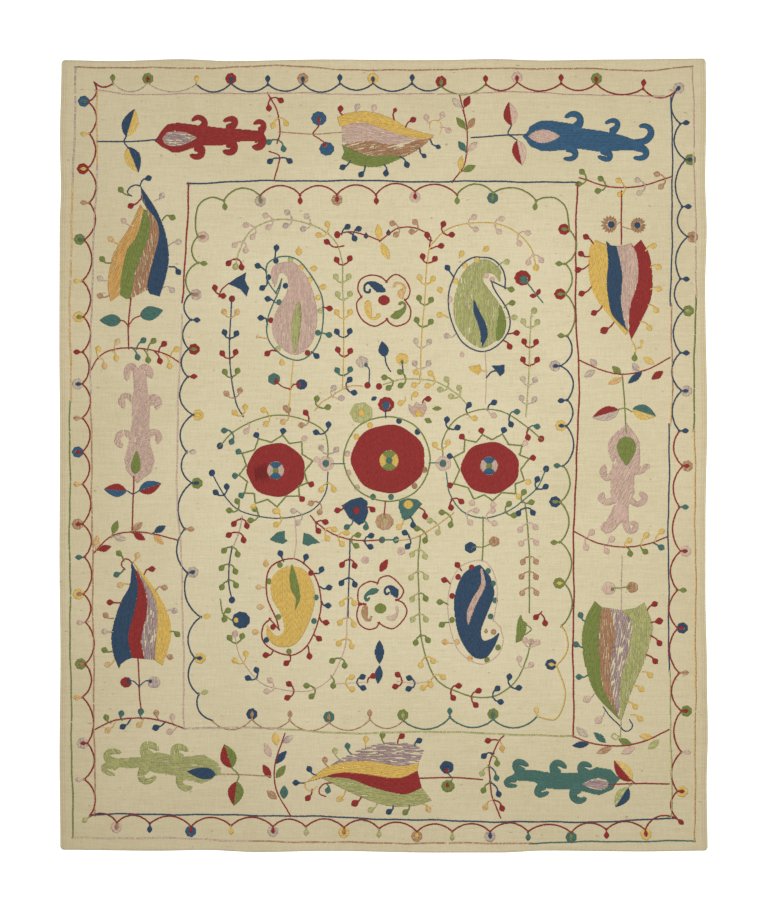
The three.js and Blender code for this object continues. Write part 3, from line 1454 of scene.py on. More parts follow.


# The pattern, read off the photograph


def rules() -> list[Motif]:
    """Gives the straight border lines, from the outermost in."""
    return [
        Rule(
            [("brown", "76,68 130,68 190,69 250,67 300,67 366,71 440,70 560,69 640,71 692,67")], 0.85,
            0.06),
        Rule([("mauve", "76,68 75,110 73,180"), ("gold", "73,180 70,300 71,402")], 0.95, 0.08),
        Rule([("green", "70,402 70,600 73,837")], 0.85, 0.03),
        Rule([("pink", "692,68 694,180 696,296")], 0.9, 0.08),
        Rule([("green", "695,296 693,431"), ("gold", "694,431 695,640 694,841")], 1.0, 0.02),
        Rule([("pink", "73,838 160,838 250,841"), ("brown", "250,841 400,843 530,843")], 0.85, 0.08),
        Rule([("teal", "530,843 640,841 694,841")], 0.85),
        Rule([("pink", "96,91 140,95 260,94 400,95 520,93 600,96 671,97")], 0.85, 0.05),
        Rule([("gold", "97,92 97,165"), ("mauve", "97,165 92,290 90,400")], 0.85, 0.05),
        Rule([("brown", "91,402 93,600 95,815")], 0.8, 0.03),
        Rule([("navy", "91,815 140,814 220,815 300,816 420,820 540,822 620,821 676,818")], 0.9),
        Rule(
            [
                ("navy", "671,97 672,200 670,305"), ("brown", "671,305 672,395"),
                ("gold", "672,395 670,425"), ("navy", "669,425 668,560 669,671"),
                ("light", "669,671 671,760 671,817")], 0.85),
        Rule([("navy", "188,184 240,182 330,181 430,182 520,182 577,183")], 0.95),
        Rule([("red", "188,184 187,234 182,302")], 1.0),
        Rule([("pink", "182,316 178,408 177,490 182,582 184,727")], 0.85, 0.05),
        Rule([("red", "577,184 575,290 578,362 578,423 574,510 573,620 573,736")], 1.0),
        Rule(
            [("mauve", "185,728 279,728"), ("light", "279,729 342,733 460,732 510,735 573,736")], 0.95,
            0.03),
    ]


def scallops() -> list[Motif]:
    """Gives the two scalloped borders, clockwise from the top left corner."""
    outer = [
        ("red", "95,83"),
        ("mauve", "113,84 bud green; 148,84 round green red"),
        (
            "navy",
            "197,85 bud yellow; 231,84 round red navy; 268,85 bud navy; 303,84 round brown navy;"
            "340,84 bud navy; 373,84 round yellow navy; 412,84 bud navy"),
        ("green", "441,87 round red green"),
        (
            "red",
            "486,85 bud red; 517,83 round pink red; 561,84 bud red; 596,84 round green red;"
            "643,89 bud red"),
        (
            "navy",
            "675,92 round mauve navy; 680,124 bud navy; 685,160 round green navy; 682,207 bud navy;"
            "687,237 round brown brown; 680,279 bud navy; 683,311 round green light;680,353 bud navy;"
            " 681,391 round mauve navy"),
        (
            "red",
            "679,431 bud navy; 682,466 round brown red; 679,507 bud teal; 680,551 round pink red;"
            "677,590 bud green; 677,628 round navy red; 679,673 bud brown; 681,711 round green red;"
            "681,752 bud pink; 677,791 round yellow red; 676,818 bud red; 645,829 round yellow red;"
            "606,829 bud red; 571,832 round teal green; 528,831 bud teal; 490,831 round mauve navy;"
            "452,831 bud light; 417,831 round brown yellow; 379,828 bud light;344,827 round yellow brown;"
            " 306,826 bud light; 273,826 round mauve red;231,825 bud yellow; 191,826 round blue red;"
            " 150,823 bud navy; 117,822 round pink brown;90,816 bud light; 85,779 bud pink;"
            " 88,743 round mauve red; 83,697 bud gold;86,664 round green brown; 86,622 bud pink;"
            " 84,594 round yellow brown; 85,557 bud teal;83,524 round brown red; 83,484 bud gold;"
            " 83,452 round blue red; 83,418 bud brown;83,384 round mauve navy; 83,352 bud red;"
            " 84,317 round yellow green; 83,281 bud yellow;85,240 round green teal; 90,203 bud brown;"
            " 88,169 round red yellow; 90,134 bud yellow;89,102 round blue teal; 95,83"),
    ]
    top = [
        ("green", "224,201 bud green"),
        (
            "red",
            "260,196 round mauve green; 300,195 bud red; 337,195 round brown red; 376,195 bud red;"
            "415,192 round pink red"),
        ("green", "457,195 bud green; 493,193 round teal green; 536,201 bud green"),
    ]
    right = [
        ("green", "569,230 round red green; 565,264 bud green; 565,294 round red green"),
        (
            "navy",
            "567,336 bud green; 560,366 round mauve navy; 567,400 bud navy; 566,426 round yellow navy"),
        (
            "green",
            "563,466 bud teal; 560,502 round navy green; 560,542 bud green; 564,583 round green yellow"),
        ("yellow", "561,626; 556,665 round navy yellow"),
    ]
    foot = [
        ("teal", "537,716 bud yellow; 493,719 round green teal; 450,717 bud teal"),
        (
            "brown",
            "403,720 round green light; 370,719 bud brown; 329,722 round teal brown; 290,720 bud brown;"
            "252,719 round navy brown"),
        (
            "navy",
            "212,720; 199,694 bud light; 195,658 round yellow navy; 201,617 bud yellow;"
            "188,573 round mauve navy; 185,529 bud brown; 192,483 round green navy; 187,452 bud mauve;"
            "193,415 round yellow yellow; 188,377 bud red; 189,349 round red green; 191,320 bud navy"),
        ("green", "191,294 round mauve brown; 198,263 bud green; 198,237 round pink brown"),
    ]
    return [
        Scallop(outer, 8.5),
        *[Scallop(side, -9.5) for side in (top, right, foot)],
        Stalk("green", "198,237 196,226 199,206 211,198 224,201", 0.95),
        Stalk("green", "536,201 545,198 556,199 566,209 569,230", 0.95),
        Stalk("yellow", "556,665 565,694 556,718 537,716", 0.95),
    ]


def plants() -> list[Motif]:
    """Gives the six hooked plants of the border with their stems and leaves."""
    return [
        HookedPlant(
            "red",
            "157.5,141,6 161,140.5,14 170,138.7,28.5 180,137.7,29.5 200,136,20 220,137,18 235,135.8,13"
            " 258,136,10",
            "203,128 192.8,120.5 .54 7;229,129 224.5,121 1 7.5;261,131 254.5,123.8 .65 6.5;"
            "198,147 191.5,155.5 -.66 8.5;230,143 224.5,151.5 -.68 9;259,138 254,147 -.52 10",
            ("mauve", "162.5,139.5 197,138", 15.5, 0.68, 0.6)),
        Stalk("navy", "98,142 128,142 157,140", 0.85),
        Stalk("navy", "126.5,136 124,142 128,148", 0.8),
        TwinLeaf("navy", "yellow", "126.5,137 135,109", 16),
        TwinLeaf("navy", "yellow", "128,147 138.5,173", 16),
        HookedPlant(
            "blue",
            "526.5,137,8 530,137,20 540,136.3,29.5 550,136.3,30.5 570,137,26 580,138.8,20.5 600,141.5,21"
            " 620,143.2,15.5 636,146,10",
            "576,128 566,117 .65 8;612,132 606,123 .85 6.5;568,148 564.5,158.8 -.8 7;"
            "603,150 598.8,157 -1.15 7.5;638,147 634.5,158 -.85 7.5",
            ("pink", "528,136.5 560,136.5", 13.5, 0.92, 1.0)),
        Bend("blue", "634,143,7 645,141,7 650.5,135,7 650,129,6.5 645,126,5.5 640.5,126.5,4"),
        Stalk("navy", "472,138 500,136 527,135", 0.85),
        Stalk("navy", "511,126 508,134 512,137 516,140", 0.8),
        TwinLeaf("red", "pink", "512,126 509,102", 14),
        TwinLeaf("pink", "red", "516.8,140.3 522,165.6", 14),
        HookedPlant(
            "pink",
            "138,475.5,16 138.5,471,25 139.5,460,30.5 139.5,445,22 140.5,425,17.5 141,400,18"
            " 140.7,390,13.5 140,375,13",
            "131,436 121,446 .62 6.5;149,436 158,442 -.62 6.5;133,400 123.5,406.5 .7 6;"
            "149,403 157,407 -.8 8;137,378 127,378.5 1.2 6.5;143,378 151,376 -1.2 7.5",
            ("green", "135.5,474 137,450", 10, 0.63, 1.0), 0.9, 22, True),
        Stalk("red", "134,477 133,500 132,532", 0.85),
        Stalk("navy", "127,491 133,494 139,491", 0.75),
        TwinLeaf("blue", "red", "127,491 104,489", 13),
        TwinLeaf("blue", "red", "139,491 161.5,483.5", 13),
        HookedPlant(
            "pink",
            "625.6,433.5,20 624.7,441,30.5 623.7,448,32.5 625.5,462,28 622.5,475,23 622,493,24"
            " 622,505,12.5 619,518,14.5", "614,472 604,467 -.75 7",
            ("green", "626,436.5 626.5,466", 19, 0.65, 1.0), 0.9, 25, True),
        *[Bend("pink", form, 115, 0.92) for form in (
            "634,471,8 641,470,7.5 647.5,465.5,5", "614,500,7 606.5,502,7 601,498.5,7 602.5,494.5,5.5",
            "630,500,7 636.5,504,5.5 642,502,6 644.5,497,6 640.5,493.5,5.5",
            "619,508,12 612,523,12 607,530,9", "609,531,5 603.5,528.5,6 604.5,523.5,5",
            "624,510,8 625,521,7 628,530,6.5 633.5,530,6 635,524.5,6 631,522.5,4")],
        Stalk("green", "622,376 624,400 626,432", 0.8),
        Stalk("green", "618.5,409.5 625,408.5 631,411.5", 0.7),
        TwinLeaf("mauve", "red", "619,410 592,417.7", 14),
        TwinLeaf("teal", "yellow", "632,409 656,416.5", 15),
        HookedPlant(
            "light",
            "219,773,6 215,770.5,17 203,769.2,28.5 188,768,24 180,766.5,19 157,762.8,20.5 142,762.8,11.5"
            " 112,763,8",
            "179,758 187,750 -.8 9;149,757 158,749 -.85 10;116,763 120,752 -.95 8;183,775 191,787 .5 8;"
            "145,768 155,777 .75 8;116,766 114,774.5 1.3 6.5",
            ("navy", "216,774.5 187,771", 12, 0.72, 1.0), 0.95),
        Stalk("brown", "220,774 245,775 270,776", 0.7),
        Stalk("green", "232,768 238.5,775 237,781", 0.75),
        TwinLeaf("red", "green", "232,768 224.5,744", 16),
        TwinLeaf("green", "red", "237,781 234,805.5", 15.5),
        HookedPlant(
            "teal",
            "616,779,8 612,779.3,20 598,781,28 590,781.3,23.5 575,781,16 555,780.7,16.5 545,779.7,15.5"
            " 535,776,11.5 518,775,11",
            "585,773 590.5,766 -.85 8;556,773 565,767 -.75 9;521,772 527,765 -1 8.5;"
            "577,788 585,798.5 .62 9;543,785 547.5,792.5 1 7.5;515,778 516,785.5 1.2 6.5",
            ("mauve", "609,784 582,784", 12, 0.7, 0.62)),
        Stalk("red", "609,784 640,783.5 668,784", 0.85),
        Stalk("red", "632,781 635,783.5", 0.8),
        Stalk("light", "628,787 632,784", 0.8),
        TwinLeaf("red", "yellow", "632,781 614,760", 15),
        TwinLeaf("navy", "light", "628,787 615,807", 14),
    ]


def fans() -> list[Motif]:
    """Gives the six striped fans of the border with their stems, flowers and berries."""
    return [
        Fan(
            [
                "110.6,302 108,285 110.6,266 116.4,248 130,227 140.5,204",
                "120,295 121.6,275 126.7,252 133.8,241 139,230 144,209",
                "130.6,299 136.4,270 144,250 149,236 150,222 147.3,210.6",
                "148,290 148,281 153,261 158.2,241 159,230 157,222 153.7,216 147,208 142,199 141.5,191",
                "160,296.7 166.6,275 169,255 165,231 156,209 140.2,185"],
            [
                ("gold", 0.97, 8, ""), ("green", 1, 0, "126,299"), ("brown", 0.8, -8, ""),
                ("navy", 1, 0, "150,294")],
            "navy 140.6,185 148.6,178.4 2;green 128,195 121,190 1;red 141,199 131,206 1;"
            "pink 133,226 124,221 1;gold 121,244 111,239.5 1;green 110,263 102.5,259.4 1.5;"
            "mauve 108,280 100.4,278.7;brown 108,296 100.4,296;mauve 156,201 162,196 -1;"
            "green 163,220 172.4,217.6 3;mauve 169,246 178.4,242 1;navy 170,267 178.4,272 2;"
            "mauve 164,288 172,290 2"),
        Stalk("navy", "140,186 135.7,185 130.6,187 127.7,191 128.6,194.5 131,196", 0.8),
        Stalk("red", "130.6,299 128.6,325 128.6,348", 0.85),
        Stalk("red", "128.6,325.6 124,321 121,320.5", 0.7),
        Stalk("red", "128.6,325.6 134,319 141,316", 0.7),
        Berry("teal", "121.5,320.5 99.5,320.2", 12, 0.8),
        Berry("teal", "140,316 163.4,310.5", 14, 0.8),
        Fan(
            [
                "595,240 589,250 588.7,275 595,297 609,316 625.4,335.4",
                "606,241 608,262 606.7,285 610.6,311 617,321 628.6,332",
                "616.4,246 622,275 621,301 624.7,324 628.6,332",
                "631,243 637,257 637.6,281 630,307 628.6,331.6",
                "640.8,239.6 649.8,258 651.5,294 641.4,320 631,340"],
            [
                ("yellow", 1, 0, "605,244"), ("navy", 1, 0, "610.6,245.4"), ("pink", 0.9, 4, "623,245.5"),
                ("red", 1, 0, "632,248 636.3,244")],
            "red 593,243 586,237 -1;red 588.7,256.6 581,254;red 588.5,265 578,270 1;"
            "red 591,287 581.6,293.6;red 601.6,306.5 594,313 1;red 613.4,322.6 604,330.5 1 8;"
            "yellow 646,250 653,246;yellow 651,267 658,267;yellow 651,289 658.4,289;"
            "yellow 649,305 656,310;yellow 641,322 649,327.7;yellow 636,349 641.5,342 -3 4;"
            "green 634.4,354 634.4,358 0"),
        Stalk("red", "621.5,192 621,218 621,243.5", 0.9),
        RoundFlower("brown", "navy", (608.6, 224.2), 16.5, 7, (2.6, 0.6), rays=True),
        RoundFlower("brown", "navy", (638.2, 225.5), 16, 6.6, (-1, 0), rays=True),
        Stalk("brown", "616.4,225 620.6,222", 0.6),
        Stalk("brown", "622,227.4 631,229.7", 0.6),
        Stalk("yellow", "631,340.6 634,346 635,351", 0.75),
        Fan(
            [
                "119.2,668.7 113.5,653 112.3,631.5 120.7,603 130,585 132,562",
                "132,658 128.4,636 133.8,613.6 138,590 135,568",
                "144.5,659 141.5,639 147,612 145.7,591 137.4,571",
                "154.7,660 156,641 157.6,619.6 154.7,598 139,572",
                "163,665.5 170.8,638.7 169.6,618 158.8,594.5 145.7,576.6 133,561"],
            [
                ("navy", 1, 0, "121.3,664 126.6,660"), ("red", 1, 0, ""), ("mauve", 0.66, 14, ""),
                ("yellow", 1, 0, "")],
            "green 124,560 119.2,553.4 -1;teal 124,569 116.8,574.5 1;gold 128.4,583.8 120.5,585 -1;"
            "red 121.3,602.6 110.2,602.3 0;brown 113,618 106,615.4;mauve 112,631.5 105,631.5 0;"
            "green 112,651 104.8,650 1;gold 114,660 108,664.5;gold 134.4,561.7 137.4,555.8 -1;"
            "red 144.8,573.6 152,569 2;brown 156.5,589.8 164.5,587.5 2;mauve 167,611 174.3,610.6 1;"
            "green 171,631.5 177.3,634;brown 164,657 170,656.8"),
        Stalk("red", "132,562 129.6,559.7 125.4,558.7 122,562 122,566 124.5,569", 0.75),
        Stalk("red", "138,659 139.2,679 139.7,696 141.2,709.6", 0.8),
        Stalk("navy", "139.5,686 134,681 129.3,680.6", 0.65),
        Stalk("navy", "139.5,686 146,681 150.5,681", 0.65),
        RoundFlower("red", "navy", (126, 682.2), 11.5, 4.6, (3, -1)),
        RoundFlower("mauve", "navy", (154, 682.2), 13, 3.6, (-3.5, -1), 4),
        Fan(
            [
                "594.5,600.8 585.4,618 581.7,639 585.4,667 596,695 620,720.6",
                "601.4,607 598.6,640 599.8,661.4 603.5,689 618,716.5",
                "609.8,607.8 614.7,633.6 609.8,672.6 611.2,686.5 616,710",
                "621.6,610 632,624 628.6,650 620.2,683.7 619.8,719",
                "644,602.2 651.6,622.4 651.6,633.6 644,661.4 632,689 621,721"],
            [
                ("green", 1, 0, ""), ("brown", 0.85, 6, ""), ("mauve", 0.6, 12, ""),
                ("light", 0.97, -4, "635,607.8")],
            "teal 585,621 580.5,615.2 1 6.4;teal 582,647 576,644.4 0 6.6;teal 587.5,674.7 579,676.8;"
            "pink 594,693 587,699 1 8;pink 604,712 598.6,720 1 8;red 648,609 654.4,604 1;"
            "red 651.6,622.4 659,621 0 7.5;red 651,636 659.2,643 1;red 646.7,655 655,661 1;"
            "yellow 643,672 650,675 1;yellow 634,686 641,689 1;yellow 628,702 635,706.5 1;"
            "yellow 632,715 639.7,718.5 1"),
        Stalk("navy", "603.5,707.4 609.8,716 618,724 623.7,730.4 629.3,730.4 632.4,725.5 630,720.2", 0.7),
        Stalk("light", "620.7,721 620,738", 0.7),
        Stalk("light", "619,736 613.5,733 611.5,737 615.4,739.5 618.5,737", 0.7),
        Stalk("mauve", "621.5,557 621,580 621,608.5", 0.6),
        RoundFlower("pink", "green", (608.4, 588.3), 14, 3.4, (4, 1), 5),
        RoundFlower("brown", "green", (632, 587.3), 12, 3.4, (-3, 0), 5),
        Stalk("green", "613,588 619,588 627,587", 0.6),
        Fan(
            [
                "337,118 346,114 366,111.6 390,118 409,128.7 434.7,136",
                "339.7,127 361,122.4 380,128 401.7,135 422,139.5 434.7,136",
                "351,144 366,140.8 391.6,144.6 415.7,140.8 434.7,136",
                "351,149 368.8,156 390,155.3 404,156 419.5,149 434.7,136",
                "341.2,159 358.7,166 380,166.7 404.3,157.2 419.5,149 434.7,136"],
            [
                ("yellow", 1, 0, ""), ("pink", 0.9, 4, "341.6,128 342,142.7"),
                ("brown", 0.84, -6, "344,145"), ("green", 1, 0, "342,144.6 344,152.8")],
            "red 342,114.5 340.5,109;mauve 357,112 357.4,107;pink 374,113 374,108;"
            "red 394,119 395,110.4 1.2 4.4;red 406,126.8 413,120;pink 430,123 426.4,118;"
            "pink 439,121 442.3,115.4 -1;pink 441,128 448.3,130.6 1;navy 349.8,161.7 342.8,167.4 1;"
            "navy 365,166.7 361.2,174.6 1;navy 384.6,165.5 386,173.3;navy 400.5,157 406.8,164.8;"
            "navy 419.5,149.4 424,156 -1.5 5;navy 430,140 438,147 -2 5"),
        Stalk("yellow", "430,128.7 430.2,123 434.7,121 439.7,122.4 441,128.7 439.7,133.8", 0.6),
        Stalk("brown", "280,132.5 312,134.4 341,132.8", 0.65),
        Stalk("red", "318.8,120 318.8,126 313,134 319,139 323,142", 0.75),
        RoundFlower("blue", "red", (318.8, 118.6), 15.5, 4.2, (0, 1)),
        RoundFlower("blue", "red", (326.7, 149), 15, 4.4, (-2.2, -4)),
        Fan(
            [
                "424,750 411,743.6 388,742.2 369.6,745.8 349.5,753.7 328,766.6 318,774",
                "419,762.3 399.7,765.8 365,760.8 329.4,765.8 305,782.3",
                "417.6,770.6 397,778 362.4,773.7 339.5,772.6 320,778 305,782.3",
                "421.9,787.5 403,794 371,786.6 351,779 326.6,776.6",
                "431.9,800 414,805.3 388,805.3 356.7,795 320.8,777.3"],
            [("mauve", 0.6, 14, ""), ("yellow", 1, 0, ""), ("red", 1, 0, ""), ("light", 0.95, -3, "")],
            "navy 316,775 309.4,769;navy 304,782.6 296,782.6 0;red 312,790 308,797.8 1;"
            "teal 327,784 328,790;yellow 345,791 339.5,798.8 1;red 361,797 355,803 1 7.5;"
            "light 377,803 371,809.6;navy 393,806 389,811.5;green 409.4,805 405.4,812;"
            "gold 423,804 428.3,808.8;brown 328,766 325,760;light 339.5,758.5 335,751;"
            "teal 351,753 347.6,746;yellow 366,746.5 366,739 0;green 384,742.5 382.5,735 1;"
            "red 398,742 401.8,736;navy 415,745 419,740.5"),
        Stalk("yellow", "305,782.3 305.8,788 311.5,791 316.5,787.3", 0.75),
        Stalk("red", "331,782.6 323.7,783.8 319.4,788.8 320,793.8 325,796.2", 0.75),
        Stalk("red", "419.7,778.3 449.8,777.3 481.4,779.5", 0.85),
        Stalk("navy", "452,777 447,772", 0.7),
        Stalk("green", "452,779 449,783", 0.7),
        RoundFlower("navy", "red", (446.7, 767), 14, 4.2, (0, 3), 5),
        RoundFlower("green", "red", (447.7, 786), 13.5, 4.2, (0, -1)),
    ]


def sprigs() -> list[Motif]:
    """Gives the red sprigs that part the border into panels."""
    leafy = {"bloom": Bloom.LEAF, "reach": 8.4, "lean": 36}
    return [
        Vine("red", "268,94 277,111 280,132 277,143", "red yellow teal", 6, 3, 9.5),
        Vine("red", "270,152 279,156 278,166 274,180", "navy", 7, 16, 10, 70),
        Vine(
            "red", "453,182 465,163 467,130 460,96", "yellow+green teal+pink green+brown mauve+red", 12,
            14, **leafy),
        Vine("red", "670,177 640,186 610,187 580,178", "brown mauve yellow green green", 6, 6),
        Stalk("red", "669,358 648,369 625,374 602,370 579,360", 0.8),
        *leaves(
            "mauve 595,370 583.5,377;mauve 597,366 590,359;green 621,374 612,366;"
            "gold 622.5,377.5 607.5,384;navy 642,372 627.5,383.5;mauve 639,371 632,363;"
            "yellow 654,364 643,357;red 663,371 651,379.5 7"),
        Stalk("red", "574,532 597,543 623,547 648,544 667,537", 0.8),
        *berries(
            "pink 588,538 591.5,532.6 1 7;pink 585,538 586,547 -1 7;pink 608,545 611.5,539.5 1 7;"
            "pink 604,545 606.5,551 -1 6.4;yellow 625,546.5 629,540.5;green 626,547 630,553.5;"
            "yellow 641,545.5 646,535.5 1 6.8;green 640,546 645,551.5 -1;yellow 655,541.5 661.5,531.5;"
            "teal 653,543 661,547.3 0 6.8"),
        Stalk("red", "573,736 591,743 620,746 645,741 668,730", 0.85),
        *leaves(
            "mauve 588,737 576,726.5 7;teal 606,742.5 593.5,732 6.6;green 632,745 618,738.5 7;"
            "yellow 653,737.5 638.5,735;navy 589,743.5 571.8,745.5;brown 612,747 596,753;"
            "pink 635,747 620.5,753.5 7;light 659,739.5 647.5,749 7"),
        Stalk("red", "503,736 498.6,740.8 492.8,753.7 489.2,765 490,782.3 492,796.7 500,817", 0.85),
        *berries(
            "red 499,740 488,740.5 -1;gold 499,741 502,748 1;navy 493,753 484,755.8 -2;"
            "green 492,755 497,763 2;light 489,766 482,773 -2;teal 489,766 496.4,777.7 2;"
            "green 490.5,782 483.5,790 -2;navy 490,782 498.6,793.8 2;gold 493,799 485.4,806.7 -2;"
            "red 494,800 502,808 2"),
        Stalk("red", "290,814 277,790 275,765 285,734", 0.8),
        *leaves(
            "pink 271,757 265,742.5 7;yellow 277,745.5 275,731.5 7.5;mauve 283,743 294,735.5;"
            "navy 275,764 287,750.5 7;red 271,778 263,764 7;green 276,778 286,765 7;"
            "brown 277,799 267,790 7;teal 284,799 284.5,785 8"),
        Stalk("red", "92,369 97,360 105,353 117,349 130,348 150,350 166,354.5 180,363", 0.8),
        *berries(
            "yellow 99,358 98.2,349.3 1;gold 100,357 104.6,366;gold 115,350 117.4,342 1;"
            "yellow 112,351 116.3,358;teal 137,348.5 143.4,340.5;teal 132,348 137.7,357.2;"
            "green 148,350 153.6,341;green 144,350 148.3,360;red 159,352 164.2,344;red 155,352 160,361;"
            "yellow 171,357 176.5,349.3;yellow 165,355 169.7,365.8"),
        Vine(
            "red", "94,553 111,537 131,532 154,534 177,540", "gold+red green+mauve brown+red navy+gold",
            3, 25, **leafy),
        Stalk("red", "96,729 116,720 142,718 162,721 183,728", 0.85),
        *berries(
            "green 110,722 106.5,717.5 1;gold 115,722 108,730 1;teal 122,719 121.5,713.5 1;"
            "navy 130,720 123,726.5 1;teal 142,718 141,711.5 1 6.8;gold 143,719 139.5,724.5 1;"
            "brown 160,720 156.5,713 1;navy 165,722 156,727.5 1 7;pink 174,723 172.5,717 1 6.4;"
            "pink 177,726 170,731.5 1 7"),
    ]


def paisleys() -> list[Motif]:
    """Gives the four paisleys with the flowers at their feet."""
    return [
        Paisley(
            "pink",
            "275,288 271,275 274,266 284,262 296,264 308,279 315,300 317,318 313,340 302,353 290,354"
            " 277,343 272,328 276,312 286,294 288,281 284,274 279,274.5",
            (
                "teal",
                "276,293 268,280 268,264 283,256.5 300,262 317,286 323,307 321,335 312,353 298,360"
                " 281,354 268.5,338 268.5,317 279,291 281.5,280"),
            ("light", "298.5,302,1.5 296.5,318,8 295.5,334,9.5 294.5,352,2"),
            "navy 276,261;navy 268.5,277.5;navy 285.5,286;teal 279,302.5;red 271,320.5;light 278,349;"
            "light 290.5,260;yellow 301.5,267.5;yellow 310,280;yellow 318,298;light 320.5,311;"
            "teal 318,333;red 307.5,353",
            "navy 275,259 276.5,248 0;navy 266.5,271.5 258,266 -1;navy 267,280.5 262.5,288 2;"
            "navy 275,302 268,299 -1;navy 267.5,323.5 261,318 -3;gold 268,338.5 258,337 0 3;"
            "red 276.5,351 267.5,353.5 -2;yellow 282,362 282,362.5 0;yellow 299,251 299,251.5 0 7.5;"
            "yellow 312,268.5 314,268.5 0;yellow 321,287 323,287 0;red 323,307.5 329.5,308.5 0;"
            "teal 321,333 329,335 0;navy 312,352.5 316.5,356 0", 0.92, 0.8),
        Stalk("green", "300,303 301,320 298,341", 0.5),
        Stalk("yellow", "293,361 291,384 289,406", 0.7),
        Stalk("red", "290,389 283,387 277,382", 0.8),
        Stalk("red", "290,389 294,385 299,384", 0.8),
        RoundFlower("teal", "red", (274, 379), 12.5, 5, (2.6, 2.6), 6),
        RoundFlower("navy", "red", (301.5, 384.5), 11.5, 4.6, (-3, 0)),
        Paisley(
            "light",
            "500,282 500,270 488,260 474,262 461,276 454,300 455,322 465,338 480,348 493,343 505,330"
            " 503,310 489,290 483,281 485,274 493,274.5",
            (
                "navy",
                "505,288 505,277 501,267 492,259 480,257 472,257.5 462,264 454,276 448.5,295 451,320"
                " 462,342 480,352 497,346 509,330 508,312 495,290 491.5,281.5"),
            ("navy", "474,301,1.5 476.5,312,6 482,325,7.5 484,335,7.5 482,346,1.5"),
            "yellow 465,266;yellow 477,260;yellow 455.5,281.5;pink 450,300;pink 492,280;pink 486,276",
            "navy 453.5,276.5 447.5,268 0;yellow 460,257 461.5,254 0;yellow 484.5,250 486,249 0;"
            "yellow 441,292 440,290 0;yellow 448,317 440,315 -1;mauve 455.5,334 447,336 2;"
            "pink 462,354 462,354.5 0 5;light 499,266 506.5,262 1;green 505,288 511,289.5 0;"
            "green 505,307 512,303 1;light 508,318 514,317.5 0;red 509,334 516.5,333 0;"
            "red 504,341 509.5,346.5 1", 0.9, 0.85),
        Patch("green", "500,305 504,315 505.5,326 503,336 497,341 496,330 498,318", lift=0.6 * MM),
        Stalk("pink", "485,352 486,378 485,402", 0.6),
        Patch("yellow", "468,367 480,365 482,371 478,375 471,371", 0, False),
        Stalk("yellow", "481,371 486,372", 0.7),
        Patch("navy", "491.5,366 504.7,365 504.5,373 500,376.5 495.5,371", 0, False),
        Stalk("navy", "497,370 491,372 486.6,377", 0.9),
        Paisley(
            "yellow",
            "267,625 267,636 276,646 292,646 304,633 314,606 313,585 303,569 285,567 272,578 272,598"
            " 281,614 284,630 277,636 271,631",
            (
                "red",
                "270,618.5 263,626 262.5,640 273,650 290,655 303,650 312,638 319,620 321.5,604 318,583"
                " 309,568 293.5,558.5 275,563 267,575 267,597 276,618 279,629"),
            ("green", "292,565,1.5 293,576,7 295,588,9 298,598,4.5 295.5,609,1"),
            "green 280,565;green 269,581.5;green 278.5,617;red 273,627;navy 266.5,640;green 289,651.5;"
            "teal 314,621;teal 316,597.5;red 311,573",
            "navy 283.5,560.5 280.5,553.5 0;navy 304,563 306,557 0;navy 315.5,573.5 321.5,569.5 -2;"
            "navy 319.5,586.5 329,587.5 -2;navy 321.5,601.5 328,605.5 -2;red 319.5,617.5 326,622.5 -2;"
            "red 314,635 319,638.5 0;red 308,647 309.5,656 0;red 290,655.5 286.5,663 2;"
            "red 273,650.5 266,655 2;gold 266,562.5 266,563.5 0;gold 265,587 259,587 0 5.5;"
            "gold 262,607 260.5,607 0;gold 257,632 255.5,632 0", 1.0, 0.85),
        Stalk("pink", "295,519 296,540 294,558", 0.6),
        Patch("teal", "269.5,539.6 277,532.4 285,531 285,538.5 288,541 283,544 275.6,542.4", 0, False),
        Patch("teal", "303.6,533 310,534.4 320.5,543 312.4,544 308.5,546 302.4,544", 0, False),
        Paisley(
            "navy",
            "478,565 464,573 456,590 454,608 459,636 472,656 485,658 494,647 499,633 492,638 483,640"
            " 481,630 488,611 494,594 490,577 482,567",
            (
                "pink",
                "500,627 503,640 499,653 490,661 480,663.5 466,657 456,645 449,620 448,600 452,580"
                " 462,566 480,560.5 490,567 496,582 497,600 493,620"),
            ("pink", "481.5,569,2 483,585,4.5 475,600,6 470,612,6 468,624,1.5"),
            "red 471.5,567.5;red 458,577;red 452,596;green 452,620;gold 457,642;gold 470,658.5;"
            "teal 488,571;teal 493,583.5;teal 495,600.5;teal 490.5,616.5;brown 493.5,632;green 498,647.5;"
            "green 487,660",
            "red 461,569.5 457.5,565 0;red 450,583.5 444.5,580 -1;green 447.5,604 440,602 -1;"
            "green 449,622 442,624.5 -1;gold 452,643 445,642 0;brown 486,630 486,631 0 4", 1.0, 0.55),
        *[Bend("brown", form) for form in (
            "481.5,584,1.5 479.5,589,2.5", "477,595,1.5 475,600,2.5", "472,606,1.5 470,611,2.5")],
        Stalk("green", "483,518 483,540 482,560", 0.75),
        Stalk("green", "474,547 483,547 491,544", 0.65),
        RoundFlower("navy", "navy", (470.3, 547.5), 12, 4, lobes=6),
        RoundFlower("brown", "brown", (494, 541.5), 11, 3, lobes=5),
    ]


